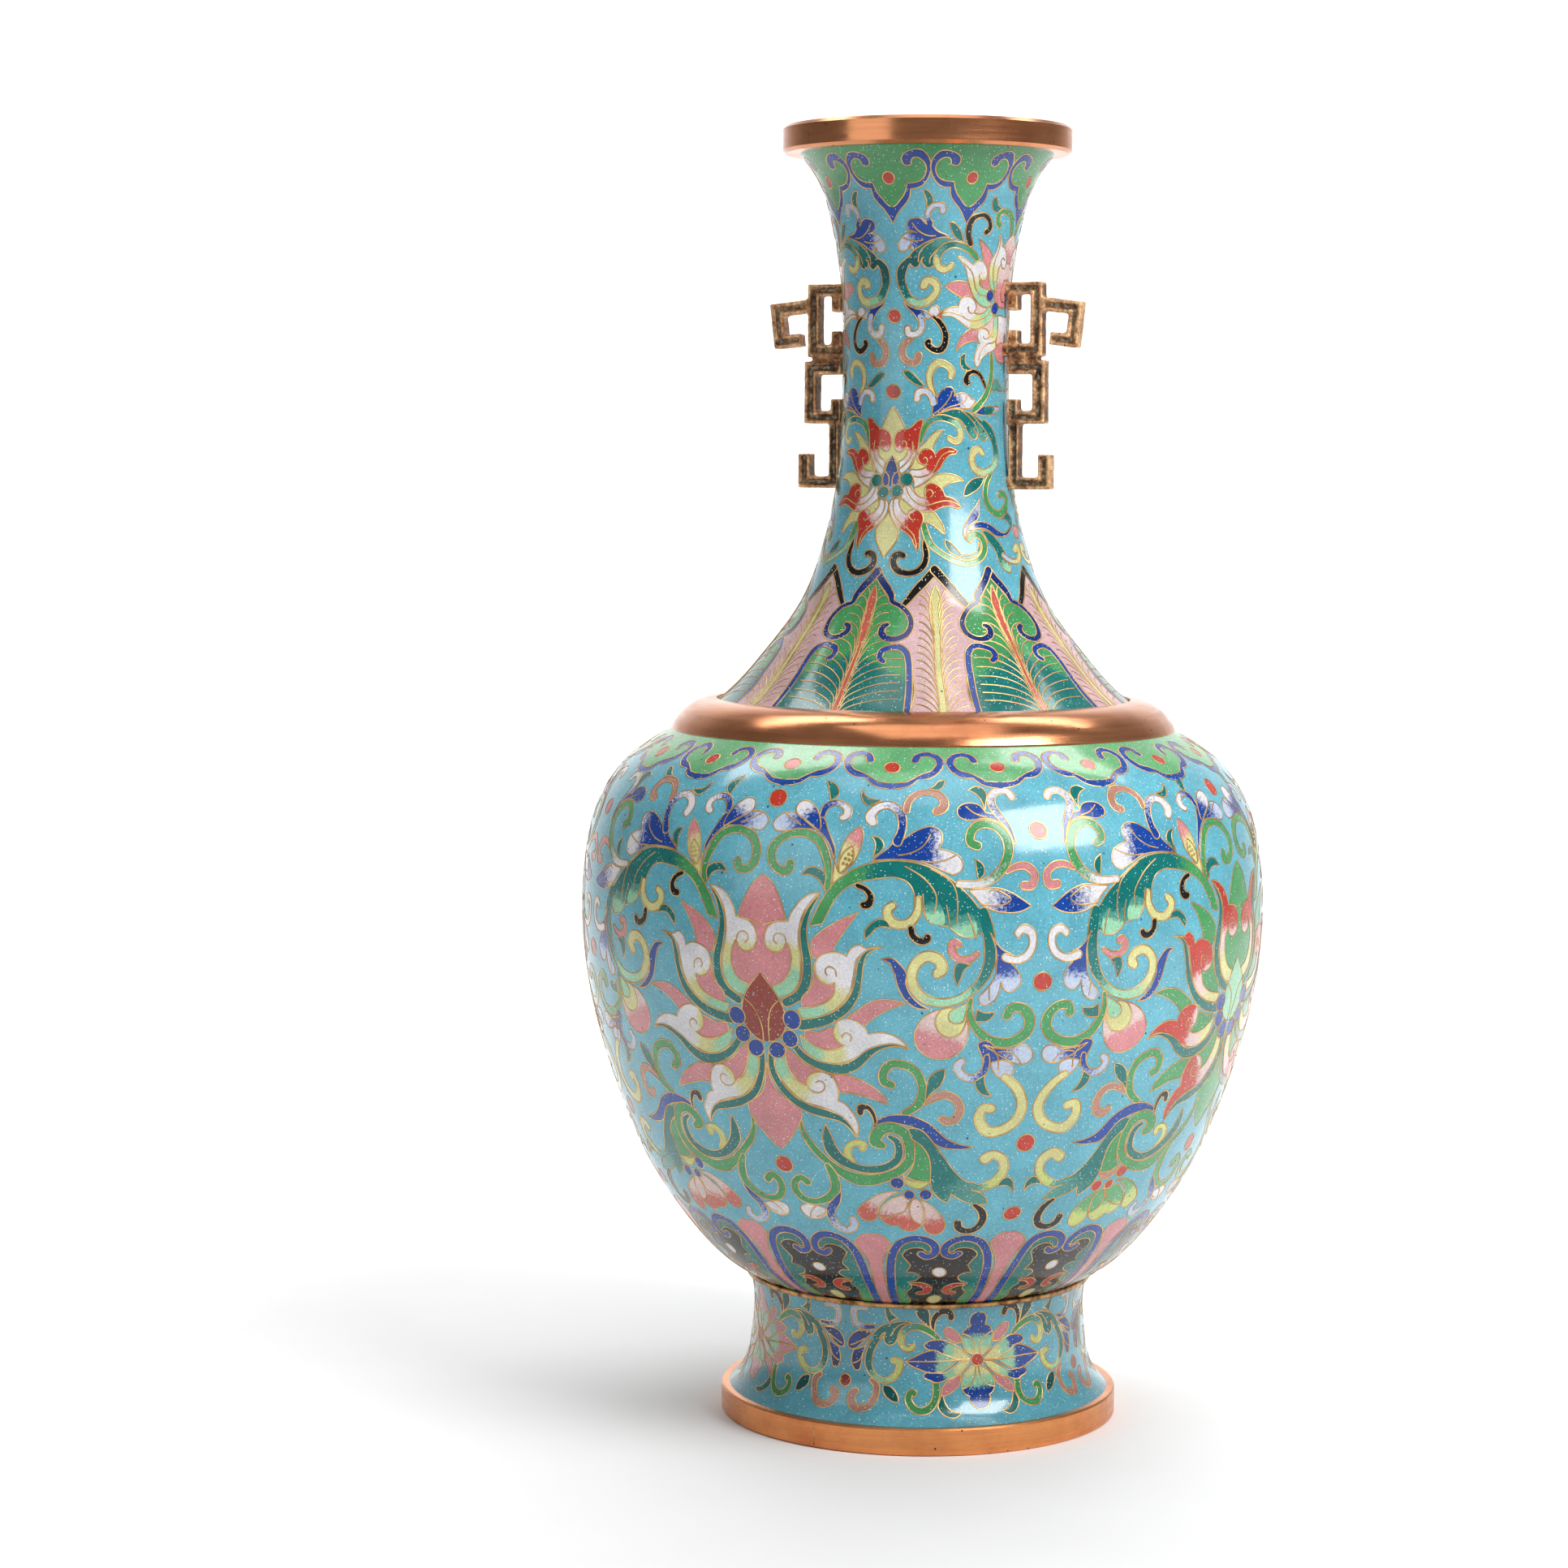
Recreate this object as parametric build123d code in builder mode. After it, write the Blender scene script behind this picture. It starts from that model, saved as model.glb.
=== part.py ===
from build123d import *
import os

# Cloisonne vase with two fret handles: a copper vessel in four shells, enamelled inside and out,
# with copper rims and cast handles. Millimetres, +Z up. The origin is the centre of the foot's
# underside, and the handles lie along X.

# ---- driving dimensions ----
height = 240.0
mouth_radius = 26.7
mouth_bore = 21.6
mouth_rim_height = 5.0
mouth_collar = 1.5  # how far the neck shell rises inside the rim
rim_chamfer = 0.6
foot_radius = 37.2
foot_rim_height = 5.0
foot_bore = 33.0
foot_lip = 1.2

enamel = 0.8  # outer enamel, which is as thick as the wires are high
copper = 1.2
lining = 0.5  # enamel on the inside

ring_inner_radius = 38.6  # the shoulder ring covers the seam between neck shell and body shell
ring_outer_radius = 46.9
ring_top = 134.6
ring_edge = 129.2
body_neck_radius = 41.2  # the hole in the body's top, where the neck stands
body_seam = 96.0  # the body's two shells meet at its widest girth
joint_ring_radius = 32.4  # thin ring where the body sits on the foot
joint_ring_top = 26.9
joint_ring_base = 25.9

plate = 3.4  # thickness of a handle
channel_depth = 0.45
channel_width = 0.9
hook_root = (22.0, 207.6)
hook_droop = -6.5

# ---- outer outlines, as radius and height, from the top down ----
neck_outline = [
    (23.6, 235.0),
    (20.4, 230.6),
    (17.5, 221.7),
    (16.0, 212.8),
    (15.4, 194.5),
    (16.2, 176.5),
    (18.5, 164.8),
    (22.9, 152.8),
    (29.5, 143.6),
    (36.4, 135.9),
    (38.8, 133.9),
    (42.4, 131.6),
]
body_outline = [
    (42.4, 131.6),
    (48.4, 128.1),
    (53.4, 124.9),
    (57.6, 120.6),
    (61.5, 113.0),
    (63.2, 104.0),
    (63.65, 96.0),
    (63.0, 85.7),
    (60.65, 73.6),
    (56.9, 61.6),
    (51.8, 49.5),
    (44.1, 37.6),
    (35.8, 29.1),
    (32.2, 26.9),
]
bowl_bottom = [(24.0, 24.6), (12.0, 23.4), (0.0, 23.0)]
foot_outline = [
    (31.7, 25.9),
    (31.1, 22.2),
    (31.4, 16.0),
    (32.2, 10.6),
    (33.7, 7.2),
    (35.8, 5.0),
]


def inset(outline, depth):
    """The outline moved towards the vase's axis, along its own normals."""
    moved = []
    last = len(outline) - 1
    for i, (radius, z) in enumerate(outline):
        before = Vector(*outline[max(i - 1, 0)])
        after = Vector(*outline[min(i + 1, last)])
        along = (after - before).normalized()
        moved.append((max(radius + along.Y * depth, 0.0), z - along.X * depth))
    return moved


def layer(outline, outside, inside):
    """Section of the skin that lies between two depths under an outline."""
    outer = inset(outline, outside)
    inner = inset(outline, inside)
    with BuildSketch(Plane.XZ) as section:
        with BuildLine():
            Spline(*outer)
            Spline(*inner)
            Line(outer[0], inner[0])
            Line(outer[-1], inner[-1])
        make_face()
    return section.sketch


def filled(outline, depth):
    """Section of everything inside an outline, in to the vase's axis."""
    edge = inset(outline, depth)
    corners = [edge[-1], (0, edge[-1][1]), (0, edge[0][1]), edge[0]]
    if edge[-1][0] == 0:
        corners = corners[1:]
    with BuildSketch(Plane.XZ) as section:
        with BuildLine():
            Spline(*edge)
            Polyline(*corners)
        make_face()
    return section.sketch


def round_edges(builder):
    """A turned piece's circular edges, in groups from the smallest radius to the largest."""
    return builder.edges().filter_by(GeomType.CIRCLE).group_by(SortBy.RADIUS)


copper_depth = enamel + copper
lining_depth = copper_depth + lining
whole_body = body_outline + bowl_bottom

# ---- what each copper shell encloses, which the enamel outside it is cut against ----
with BuildPart() as neck_core:
    revolve(filled(neck_outline, enamel), axis=Axis.Z)

with BuildPart() as body_core:
    revolve(filled(whole_body, enamel), axis=Axis.Z)

with BuildPart() as body_hollow:
    revolve(filled(whole_body, copper_depth), axis=Axis.Z)

with BuildPart() as body_cavity:
    revolve(filled(whole_body, lining_depth), axis=Axis.Z)

# ---- copper shells ----
with BuildPart() as neck_shell:
    revolve(layer(neck_outline, enamel, copper_depth), axis=Axis.Z)
    top_outer = inset(neck_outline, enamel)[0]
    top_inner = inset(neck_outline, copper_depth)[0]
    with BuildSketch(Plane.XY.offset(top_outer[1])):
        Circle(top_outer[0])
        Circle(top_inner[0], mode=Mode.SUBTRACT)
    extrude(amount=mouth_collar)
neck_shell.part.label = "neck_shell"

with BuildPart() as upper_body_shell:
    add(body_core.part)
    add(body_hollow.part, mode=Mode.SUBTRACT)
    split(bisect_by=Plane.XY.offset(body_seam), keep=Keep.TOP)
    with BuildSketch(Plane.XY.offset(body_seam)):
        Circle(body_neck_radius)
    extrude(amount=height, mode=Mode.SUBTRACT)
    add(neck_shell.part, mode=Mode.SUBTRACT)
upper_body_shell.part.label = "upper_body_shell"

with BuildPart() as lower_body_shell:
    add(body_core.part)
    add(body_hollow.part, mode=Mode.SUBTRACT)
    split(bisect_by=Plane.XY.offset(body_seam), keep=Keep.BOTTOM)
lower_body_shell.part.label = "lower_body_shell"

with BuildPart() as foot_shell:
    foot_outer = inset(foot_outline, enamel)
    foot_inner = inset(foot_outline, copper_depth)
    above = joint_ring_top + copper_depth
    with BuildSketch(Plane.XZ):
        with BuildLine():
            Spline(*foot_outer)
            Spline(*foot_inner)
            Polyline(foot_outer[0], (foot_outer[0][0], above), (foot_inner[0][0], above), foot_inner[0])
            Polyline(
                foot_outer[-1],
                (foot_outer[-1][0], foot_lip),
                (foot_inner[-1][0], foot_lip),
                foot_inner[-1],
            )
        make_face()
    revolve(axis=Axis.Z)
    add(body_core.part, mode=Mode.SUBTRACT)
foot_shell.part.label = "foot_shell"

# ---- copper rims and rings ----
with BuildPart() as mouth_rim:
    with BuildSketch(Plane.XY.offset(height - mouth_rim_height)):
        Circle(mouth_radius)
        Circle(mouth_bore, mode=Mode.SUBTRACT)
    extrude(amount=mouth_rim_height)
    chamfer(round_edges(mouth_rim)[-1], length=rim_chamfer)
    add(neck_shell.part, mode=Mode.SUBTRACT)
mouth_rim.part.label = "mouth_rim"

with BuildPart() as shoulder_ring:
    inner_top = (ring_inner_radius, ring_top)
    outer_edge = (ring_outer_radius, ring_edge)
    with BuildSketch(Plane.XZ):
        with BuildLine():
            ThreePointArc(inner_top, (43.6, 133.1), outer_edge)
            Polyline(
                outer_edge,
                (ring_outer_radius, ring_edge - 3),
                (ring_inner_radius, ring_top - 3),
                inner_top,
            )
        make_face()
    revolve(axis=Axis.Z)
    for inside in (neck_core, body_core, neck_shell, upper_body_shell):
        add(inside.part, mode=Mode.SUBTRACT)
shoulder_ring.part.label = "shoulder_ring"

with BuildPart() as foot_joint_ring:
    with BuildSketch(Plane.XY.offset(joint_ring_base)):
        Circle(joint_ring_radius)
        Circle(foot_inner[0][0], mode=Mode.SUBTRACT)
    extrude(amount=joint_ring_top - joint_ring_base)
    fillet(round_edges(foot_joint_ring)[-1], radius=0.3)
    add(foot_shell.part, mode=Mode.SUBTRACT)
    add(body_core.part, mode=Mode.SUBTRACT)
foot_joint_ring.part.label = "foot_joint_ring"

with BuildPart() as foot_rim:
    with BuildSketch(Plane.XY):
        Circle(foot_radius)
        Circle(foot_bore, mode=Mode.SUBTRACT)
    extrude(amount=foot_rim_height)
    chamfer(round_edges(foot_rim)[-1], length=rim_chamfer / 2)
    with BuildSketch(Plane.XY.offset(foot_lip)):
        Circle(foot_outer[-1][0])
    extrude(amount=height, mode=Mode.SUBTRACT)
foot_rim.part.label = "foot_rim"

# ---- handles: fret scrolls made of square bars, with a channel sunk along each face ----
# Each bar is (x low, z low, x high, z high). The drooping hook is drawn about its root.
fret_bars = [
    (14.6, 209.2, 22.8, 211.5),  # upper fret: top bar, which runs into the neck
    (20.4, 198.0, 22.8, 211.5),
    (14.6, 197.8, 22.8, 200.3),
    (16.0, 206.2, 18.1, 209.3),
    (16.0, 200.2, 18.1, 202.8),
    (16.2, 196.6, 21.8, 198.0),  # step between the two frets
    (15.9, 194.6, 23.4, 197.2),  # lower fret
    (20.9, 185.5, 23.4, 197.2),
    (16.0, 185.5, 23.4, 188.0),
    (16.0, 185.5, 18.2, 190.2),
    (16.4, 173.5, 18.5, 186.0),  # bar along the neck
    (14.8, 173.5, 24.6, 175.8),  # lower hook, which runs into the neck
    (22.1, 173.5, 24.6, 180.0),
]
hook_bars = [(0.0, -1.4, 8.3, 1.2), (5.8, -7.4, 8.3, 1.2), (2.8, -7.4, 8.3, -4.9)]
channels = [
    (16.4, 210.3, 21.6, 210.3),
    (21.6, 199.1, 21.6, 210.3),
    (16.4, 199.1, 21.6, 199.1),
    (17.2, 195.9, 22.1, 195.9),
    (22.1, 186.7, 22.1, 195.9),
    (17.1, 186.7, 22.1, 186.7),
    (17.1, 186.7, 17.1, 189.4),
    (17.5, 174.7, 17.5, 184.6),
    (17.5, 174.7, 23.3, 174.7),
    (23.3, 174.7, 23.3, 179.2),
]
hook_channels = [(1.6, -0.1, 7.0, -0.1), (7.0, -6.1, 7.0, -0.1), (3.6, -6.1, 7.0, -6.1)]


def bars(boxes, widen):
    """Sketch of the rectangles with these low and high corners, each widened by one margin."""
    with BuildSketch() as plan:
        for x_low, z_low, x_high, z_high in boxes:
            with Locations(((x_low + x_high) / 2, (z_low + z_high) / 2)):
                Rectangle(x_high - x_low + widen, z_high - z_low + widen)
    return plan.sketch


def fret(boxes, hook_boxes, widen=0.0):
    """The whole fret on the XZ plane, its hook turned downwards about its root."""
    with BuildSketch(Plane.XZ) as outline:
        add(bars(boxes, widen))
        with Locations(Location((*hook_root, 0), (0, 0, hook_droop))):
            add(bars(hook_boxes, widen))
    return outline.sketch


with BuildPart() as handle_right:
    extrude(fret(fret_bars, hook_bars), amount=plate / 2, both=True)
    add(neck_core.part, mode=Mode.SUBTRACT)
    sunk = fret(channels, hook_channels, channel_width)
    for face_y in (plate / 2, -plate / 2):
        cut = extrude(sunk.translate((0, face_y, 0)), amount=channel_depth, both=True, mode=Mode.PRIVATE)
        add(cut, mode=Mode.SUBTRACT)
handle_right.part.label = "handle_right"

with BuildPart() as handle_left:
    add(handle_right.part.rotate(Axis.Z, 180))
handle_left.part.label = "handle_left"

# ---- enamel: outer skins, which the rims, rings and handles interrupt ----
with BuildPart() as neck_enamel:
    revolve(filled(neck_outline[:-1], 0), axis=Axis.Z)
    add(neck_core.part, mode=Mode.SUBTRACT)
    add(shoulder_ring.part, mode=Mode.SUBTRACT)
    add(handle_right.part, mode=Mode.SUBTRACT)
    add(handle_left.part, mode=Mode.SUBTRACT)
neck_enamel.part.label = "neck_enamel"

with BuildPart() as body_enamel:
    revolve(filled(body_outline[1:], 0), axis=Axis.Z)
    add(body_core.part, mode=Mode.SUBTRACT)
    add(shoulder_ring.part, mode=Mode.SUBTRACT)
    add(foot_shell.part, mode=Mode.SUBTRACT)
body_enamel.part.label = "body_enamel"

with BuildPart() as foot_enamel:
    revolve(filled(foot_outline, 0), axis=Axis.Z)
    revolve(filled(foot_outline, enamel), axis=Axis.Z, mode=Mode.SUBTRACT)
    with BuildSketch(Plane.XY):
        Circle(foot_inner[0][0])
    extrude(amount=height, mode=Mode.SUBTRACT)
    add(foot_shell.part, mode=Mode.SUBTRACT)
foot_enamel.part.label = "foot_enamel"

# ---- plain enamel on the inside and under the base, which stops the copper warping ----
with BuildPart() as neck_lining:
    revolve(layer(neck_outline, copper_depth, lining_depth), axis=Axis.Z)
    add(mouth_rim.part, mode=Mode.SUBTRACT)
    add(body_core.part, mode=Mode.SUBTRACT)
neck_lining.part.label = "neck_lining"

with BuildPart() as body_lining:
    add(body_hollow.part)
    add(body_cavity.part, mode=Mode.SUBTRACT)
    with BuildSketch(Plane.XY.offset(body_seam)):
        Circle(body_neck_radius)
    extrude(amount=height, mode=Mode.SUBTRACT)
body_lining.part.label = "body_lining"

with BuildPart() as foot_lining:
    revolve(layer(foot_outline, copper_depth, lining_depth), axis=Axis.Z)
    add(body_core.part, mode=Mode.SUBTRACT)
foot_lining.part.label = "foot_lining"

with BuildPart() as base_enamel:
    revolve(filled(whole_body, enamel - lining), axis=Axis.Z)
    add(body_core.part, mode=Mode.SUBTRACT)
    with BuildSketch(Plane.XY):
        Circle(height)
        Circle(foot_inner[0][0] - 2 * lining, mode=Mode.SUBTRACT)
    extrude(amount=height, mode=Mode.SUBTRACT)
    split(bisect_by=Plane.XY.offset(joint_ring_top), keep=Keep.BOTTOM)
base_enamel.part.label = "base_enamel"

pieces = [
    mouth_rim,
    neck_shell,
    neck_enamel,
    neck_lining,
    shoulder_ring,
    upper_body_shell,
    lower_body_shell,
    body_enamel,
    body_lining,
    base_enamel,
    foot_joint_ring,
    foot_shell,
    foot_enamel,
    foot_lining,
    foot_rim,
    handle_left,
    handle_right,
]
os.makedirs("parts", exist_ok=True)
for piece in pieces:
    export_step(piece.part, f"parts/{piece.part.label}.step")
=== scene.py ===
import math

import bpy
import numpy as np
from mathutils import Matrix, Vector, noise
from mathutils.geometry import delaunay_2d_cdt


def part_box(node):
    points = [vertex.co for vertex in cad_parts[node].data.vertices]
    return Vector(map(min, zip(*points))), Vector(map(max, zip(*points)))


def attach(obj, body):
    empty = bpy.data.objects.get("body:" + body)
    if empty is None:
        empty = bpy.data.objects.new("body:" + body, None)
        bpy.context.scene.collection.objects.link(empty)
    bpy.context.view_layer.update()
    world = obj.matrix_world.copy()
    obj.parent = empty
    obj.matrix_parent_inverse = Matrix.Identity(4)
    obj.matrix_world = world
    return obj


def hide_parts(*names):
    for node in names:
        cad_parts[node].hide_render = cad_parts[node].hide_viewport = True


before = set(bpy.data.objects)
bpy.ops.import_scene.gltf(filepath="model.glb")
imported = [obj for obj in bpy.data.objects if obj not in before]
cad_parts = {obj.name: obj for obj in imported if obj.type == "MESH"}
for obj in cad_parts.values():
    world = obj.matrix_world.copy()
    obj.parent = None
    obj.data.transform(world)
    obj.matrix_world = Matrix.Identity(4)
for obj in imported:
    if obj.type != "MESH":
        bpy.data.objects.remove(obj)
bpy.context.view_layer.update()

# Cloisonne vase. The pattern is drawn on the unrolled surface: u is the angle round the vase in
# degrees from an ornament's axis, and s is the distance down the wall in millimetres. Each shape
# becomes a cell of enamel, and each visible edge between cells becomes a raised wire.

# Sizes are in millimetres and angles in degrees, unless a comment says otherwise.
MM = 0.001  # a millimetre in the scene's metres
ENAMEL_DEPTH = 0.06  # how far the polished enamel lies below the outline of the CAD
WIRE_TOP = 0.015  # how far the wires' tops lie below the outline of the CAD
WIRE_SHOULDER = 0.042  # and how far the edges of those tops
WIRE_SKIRT = 0.10  # and how far the wires' sides go down, into the enamel
WIRE_WIDTH = 0.34
WIRE_MARGIN = 0.2  # no wire comes nearer than this to the edge of its wall
WIRE_SECTION = (  # place across, as a share of the width, depth below the outline, and brightness
    (-0.5, WIRE_SKIRT, 0), (-0.36, WIRE_SHOULDER, 0.55), (-0.15, WIRE_TOP, 1),
    (0.15, WIRE_TOP, 1), (0.36, WIRE_SHOULDER, 0.55), (0.5, WIRE_SKIRT, 0),
)
GRID = 1.15  # spacing of the free points inside a cell
STEP = 0.42  # spacing of the points along an outline
ROUND_POINTS = 22  # points round a dot
SEAM_REACH = 0.05  # a point this near a mirror line, in degrees, lies on it
WELD = 1e-5  # points nearer than this become one
SLIVER = 1e-7  # triangles smaller than this are left out
PHOTO_TURN = 21.0  # the camera stands this far round from the front
UNDER_RING = -1.9  # where the body enamel starts, below the shoulder ring
WHOLE_TURNS = (-360, 0, 360)  # a shape may cross the place where the angles start again

# ---- outlines, as radius and height, from the top down: the CAD's, where they are enamelled ----
NECK = [(23.6, 235), (20.4, 230.6), (17.5, 221.7), (16, 212.8), (15.4, 194.5), (16.2, 176.5),
        (18.5, 164.8), (22.9, 152.8), (29.5, 143.6), (36.4, 135.9), (38.8, 133.9)]
BODY = [(42.4, 131.6), (48.4, 128.1), (53.4, 124.9), (57.6, 120.6), (61.5, 113), (63.2, 104), (63.65, 96),
        (63, 85.7), (60.65, 73.6), (56.9, 61.6), (51.8, 49.5), (44.1, 37.6), (35.8, 29.1), (32.2, 26.9)]
FOOT = [(31.7, 25.9), (31.1, 22.2), (31.4, 16), (32.2, 10.6), (33.7, 7.2), (35.8, 5)]

SRGB = {
    "ground": (94, 168, 186), "green": (66, 146, 86), "pale": (146, 200, 164), "teal": (6, 108, 104),
    "dteal": (8, 82, 84), "sea": (76, 144, 132), "blue": (12, 62, 146), "navy": (14, 42, 108),
    "lavender": (180, 192, 214), "white": (216, 214, 218), "yellow": (206, 203, 138),
    "lime": (192, 202, 114), "pink": (202, 130, 134), "rose": (204, 166, 168), "blush": (214, 188, 184),
    "brick": (178, 128, 114), "red": (182, 52, 38), "maroon": (142, 54, 42), "black": (18, 16, 18),
    "rust": (194, 92, 78), "fern": (92, 162, 106),
}


def linear(rgb):
    c = np.array(rgb, float) / 255
    return np.where(c <= 0.04045, c / 12.92, ((c + 0.055) / 1.055) ** 2.4)


COLOUR = {name: linear(rgb) for name, rgb in SRGB.items()}


# ---- geometry of a turned wall ----
def spline(points, steps):
    """Natural cubic spline through points, by chord length."""
    p = np.array(points, float)
    t = np.concatenate([[0], np.cumsum(np.linalg.norm(np.diff(p, axis=0), axis=1))])
    n = len(p)
    h = np.diff(t)
    a = np.eye(n)
    b = np.zeros((n, 2))
    for i in range(1, n - 1):
        a[i, i - 1], a[i, i], a[i, i + 1] = h[i - 1], 2 * (h[i - 1] + h[i]), h[i]
        b[i] = 6 * ((p[i + 1] - p[i]) / h[i] - (p[i] - p[i - 1]) / h[i - 1])
    m = np.linalg.solve(a, b)
    x = np.linspace(0, t[-1], steps)
    i = np.clip(np.searchsorted(t, x, side="right") - 1, 0, n - 2)
    l, r = (t[i + 1] - x)[:, None], (x - t[i])[:, None]
    d = h[i][:, None]
    bent = (m[i] * l**3 + m[i + 1] * r**3) / (6 * d)
    return bent + (p[i] / d - m[i] * d / 6) * l + (p[i + 1] / d - m[i + 1] * d / 6) * r


class Wall:
    """A turned wall that can be asked for the place of a point (u, s), h above it."""

    def __init__(self, outline, zero=0):
        """The distance s is measured from the outline's point number zero."""
        p = spline(outline, 4000)
        d = np.diff(p, axis=0)
        self.s = np.concatenate([[0], np.cumsum(np.linalg.norm(d, axis=1))])
        self.s -= self.s[np.argmin(np.linalg.norm(p - np.array(outline[zero]), axis=1))]
        self.r, self.z = p[:, 0], p[:, 1]
        g = np.gradient(p, axis=0)
        g /= np.linalg.norm(g, axis=1)[:, None]
        self.nr, self.nz = -g[:, 1], g[:, 0]
        self.length = self.s[-1]

    def mm_per_degree(self, s):
        return np.interp(s, self.s, self.r) * math.pi / 180

    def place(self, u, s, h):
        nr, nz = np.interp(s, self.s, self.nr), np.interp(s, self.s, self.nz)
        r = np.interp(s, self.s, self.r) + nr * h
        z = np.interp(s, self.s, self.z) + nz * h
        a = np.radians(u + PHOTO_TURN)
        return np.stack([r * np.sin(a), -r * np.cos(a), z], axis=-1) * MM

    def normal(self, u, s):
        nr, nz = np.interp(s, self.s, self.nr), np.interp(s, self.s, self.nz)
        a = np.radians(u + PHOTO_TURN)
        return np.stack([nr * np.sin(a), -nr * np.cos(a), nz], axis=-1)


# ---- drawing ----
def numbers(text):
    """'u,s u,s*' as an array of points and a list saying which are corners, marked by a star."""
    words = text.split()
    corners = [w.endswith("*") for w in words]
    return np.array([[float(x) for x in w.rstrip("*").split(",")] for w in words]), corners


def smooth(points, corners, scale, closed, step=STEP):
    """A smooth line through points, broken at the corners. Extra columns, such as a width, follow."""
    p = points * np.array([scale] + [1] * (points.shape[1] - 1))
    n = len(p)
    spans = n if closed else n - 1
    rows = []
    for i in range(spans):
        a, b = p[i], p[(i + 1) % n]
        length = np.linalg.norm((b - a)[:2]) + 1e-9

        def tangent(k):
            ends = not closed and k in (0, n - 1)
            if corners[k] or ends:
                return None
            before, here, after = p[k - 1], p[k], p[(k + 1) % n]
            l0, l1 = np.linalg.norm((here - before)[:2]), np.linalg.norm((after - here)[:2])
            d = (here - before) / (l0 + 1e-9) * l1 + (after - here) / (l1 + 1e-9) * l0
            return d / (l0 + l1 + 1e-9) * length

        ta, tb = tangent(i), tangent((i + 1) % n)
        if ta is None and tb is None:
            ta = tb = b - a
        elif ta is None:
            ta = (b - a) * 1.5 - tb * 0.5
        elif tb is None:
            tb = (b - a) * 1.5 - ta * 0.5
        k = max(2, int(round(length / step)) + 1)
        t = np.linspace(0, 1, k, endpoint=False)[:, None]
        rows.append((2 * t**3 - 3 * t**2 + 1) * a + (t**3 - 2 * t**2 + t) * ta
                    + (3 * t**2 - 2 * t**3) * b + (t**3 - t**2) * tb)
    if not closed:
        rows.append(p[-1:])
    out = np.concatenate(rows)
    out[:, 0] /= scale
    return out


def inside(points, loop):
    """Which points lie inside a closed loop, by winding number."""
    x, y = points[:, 0][:, None], points[:, 1][:, None]
    a, b = loop, np.roll(loop, -1, axis=0)
    ax, ay, bx, by = a[:, 0], a[:, 1], b[:, 0], b[:, 1]
    side = (bx - ax) * (y - ay) - (x - ax) * (by - ay)
    up = (ay <= y) & (by > y) & (side > 0)
    down = (ay > y) & (by <= y) & (side < 0)
    return (up.sum(axis=1) - down.sum(axis=1)) != 0


class Sheet:
    """Everything drawn on one wall, from the lowest layer to the highest."""

    def __init__(self, wall):
        self.wall = wall
        self.shapes = []
        self.late = []

    def add(self, line, colours=None, fade=None, group=None, bare=None, closed=True):
        bare = np.zeros(len(line), bool) if bare is None else bare
        self.shapes.append(dict(line=line, colours=colours, fade=fade, group=group, bare=bare,
                                closed=closed, low=line.min(axis=0), high=line.max(axis=0)))

    def finished(self):
        """The sheet with the dots that stand on a mirror line laid over everything else."""
        for dot in self.late:
            self.add(*dot)
        self.low = np.array([shape["low"] for shape in self.shapes])
        self.high = np.array([shape["high"] for shape in self.shapes])
        return self

    def hidden(self, i):
        """Which points of shape i's line are covered by later shapes or by its own group."""
        me = self.shapes[i]
        covered = me["bare"].copy()
        for turn in WHOLE_TURNS:
            move = np.array([turn, 0])
            near = ((self.low + move <= me["high"]) & (self.high + move >= me["low"])).all(axis=1)
            for j in np.nonzero(near)[0]:
                other = self.shapes[j]
                same = me["group"] is not None and other["group"] == me["group"] and j != i
                if not other["closed"] or not (j > i or same) or (same and not me["closed"]):
                    continue
                left = np.nonzero(~covered)[0]
                if len(left):
                    covered[left[inside(me["line"][left], other["line"] + move)]] = True
        return covered


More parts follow.
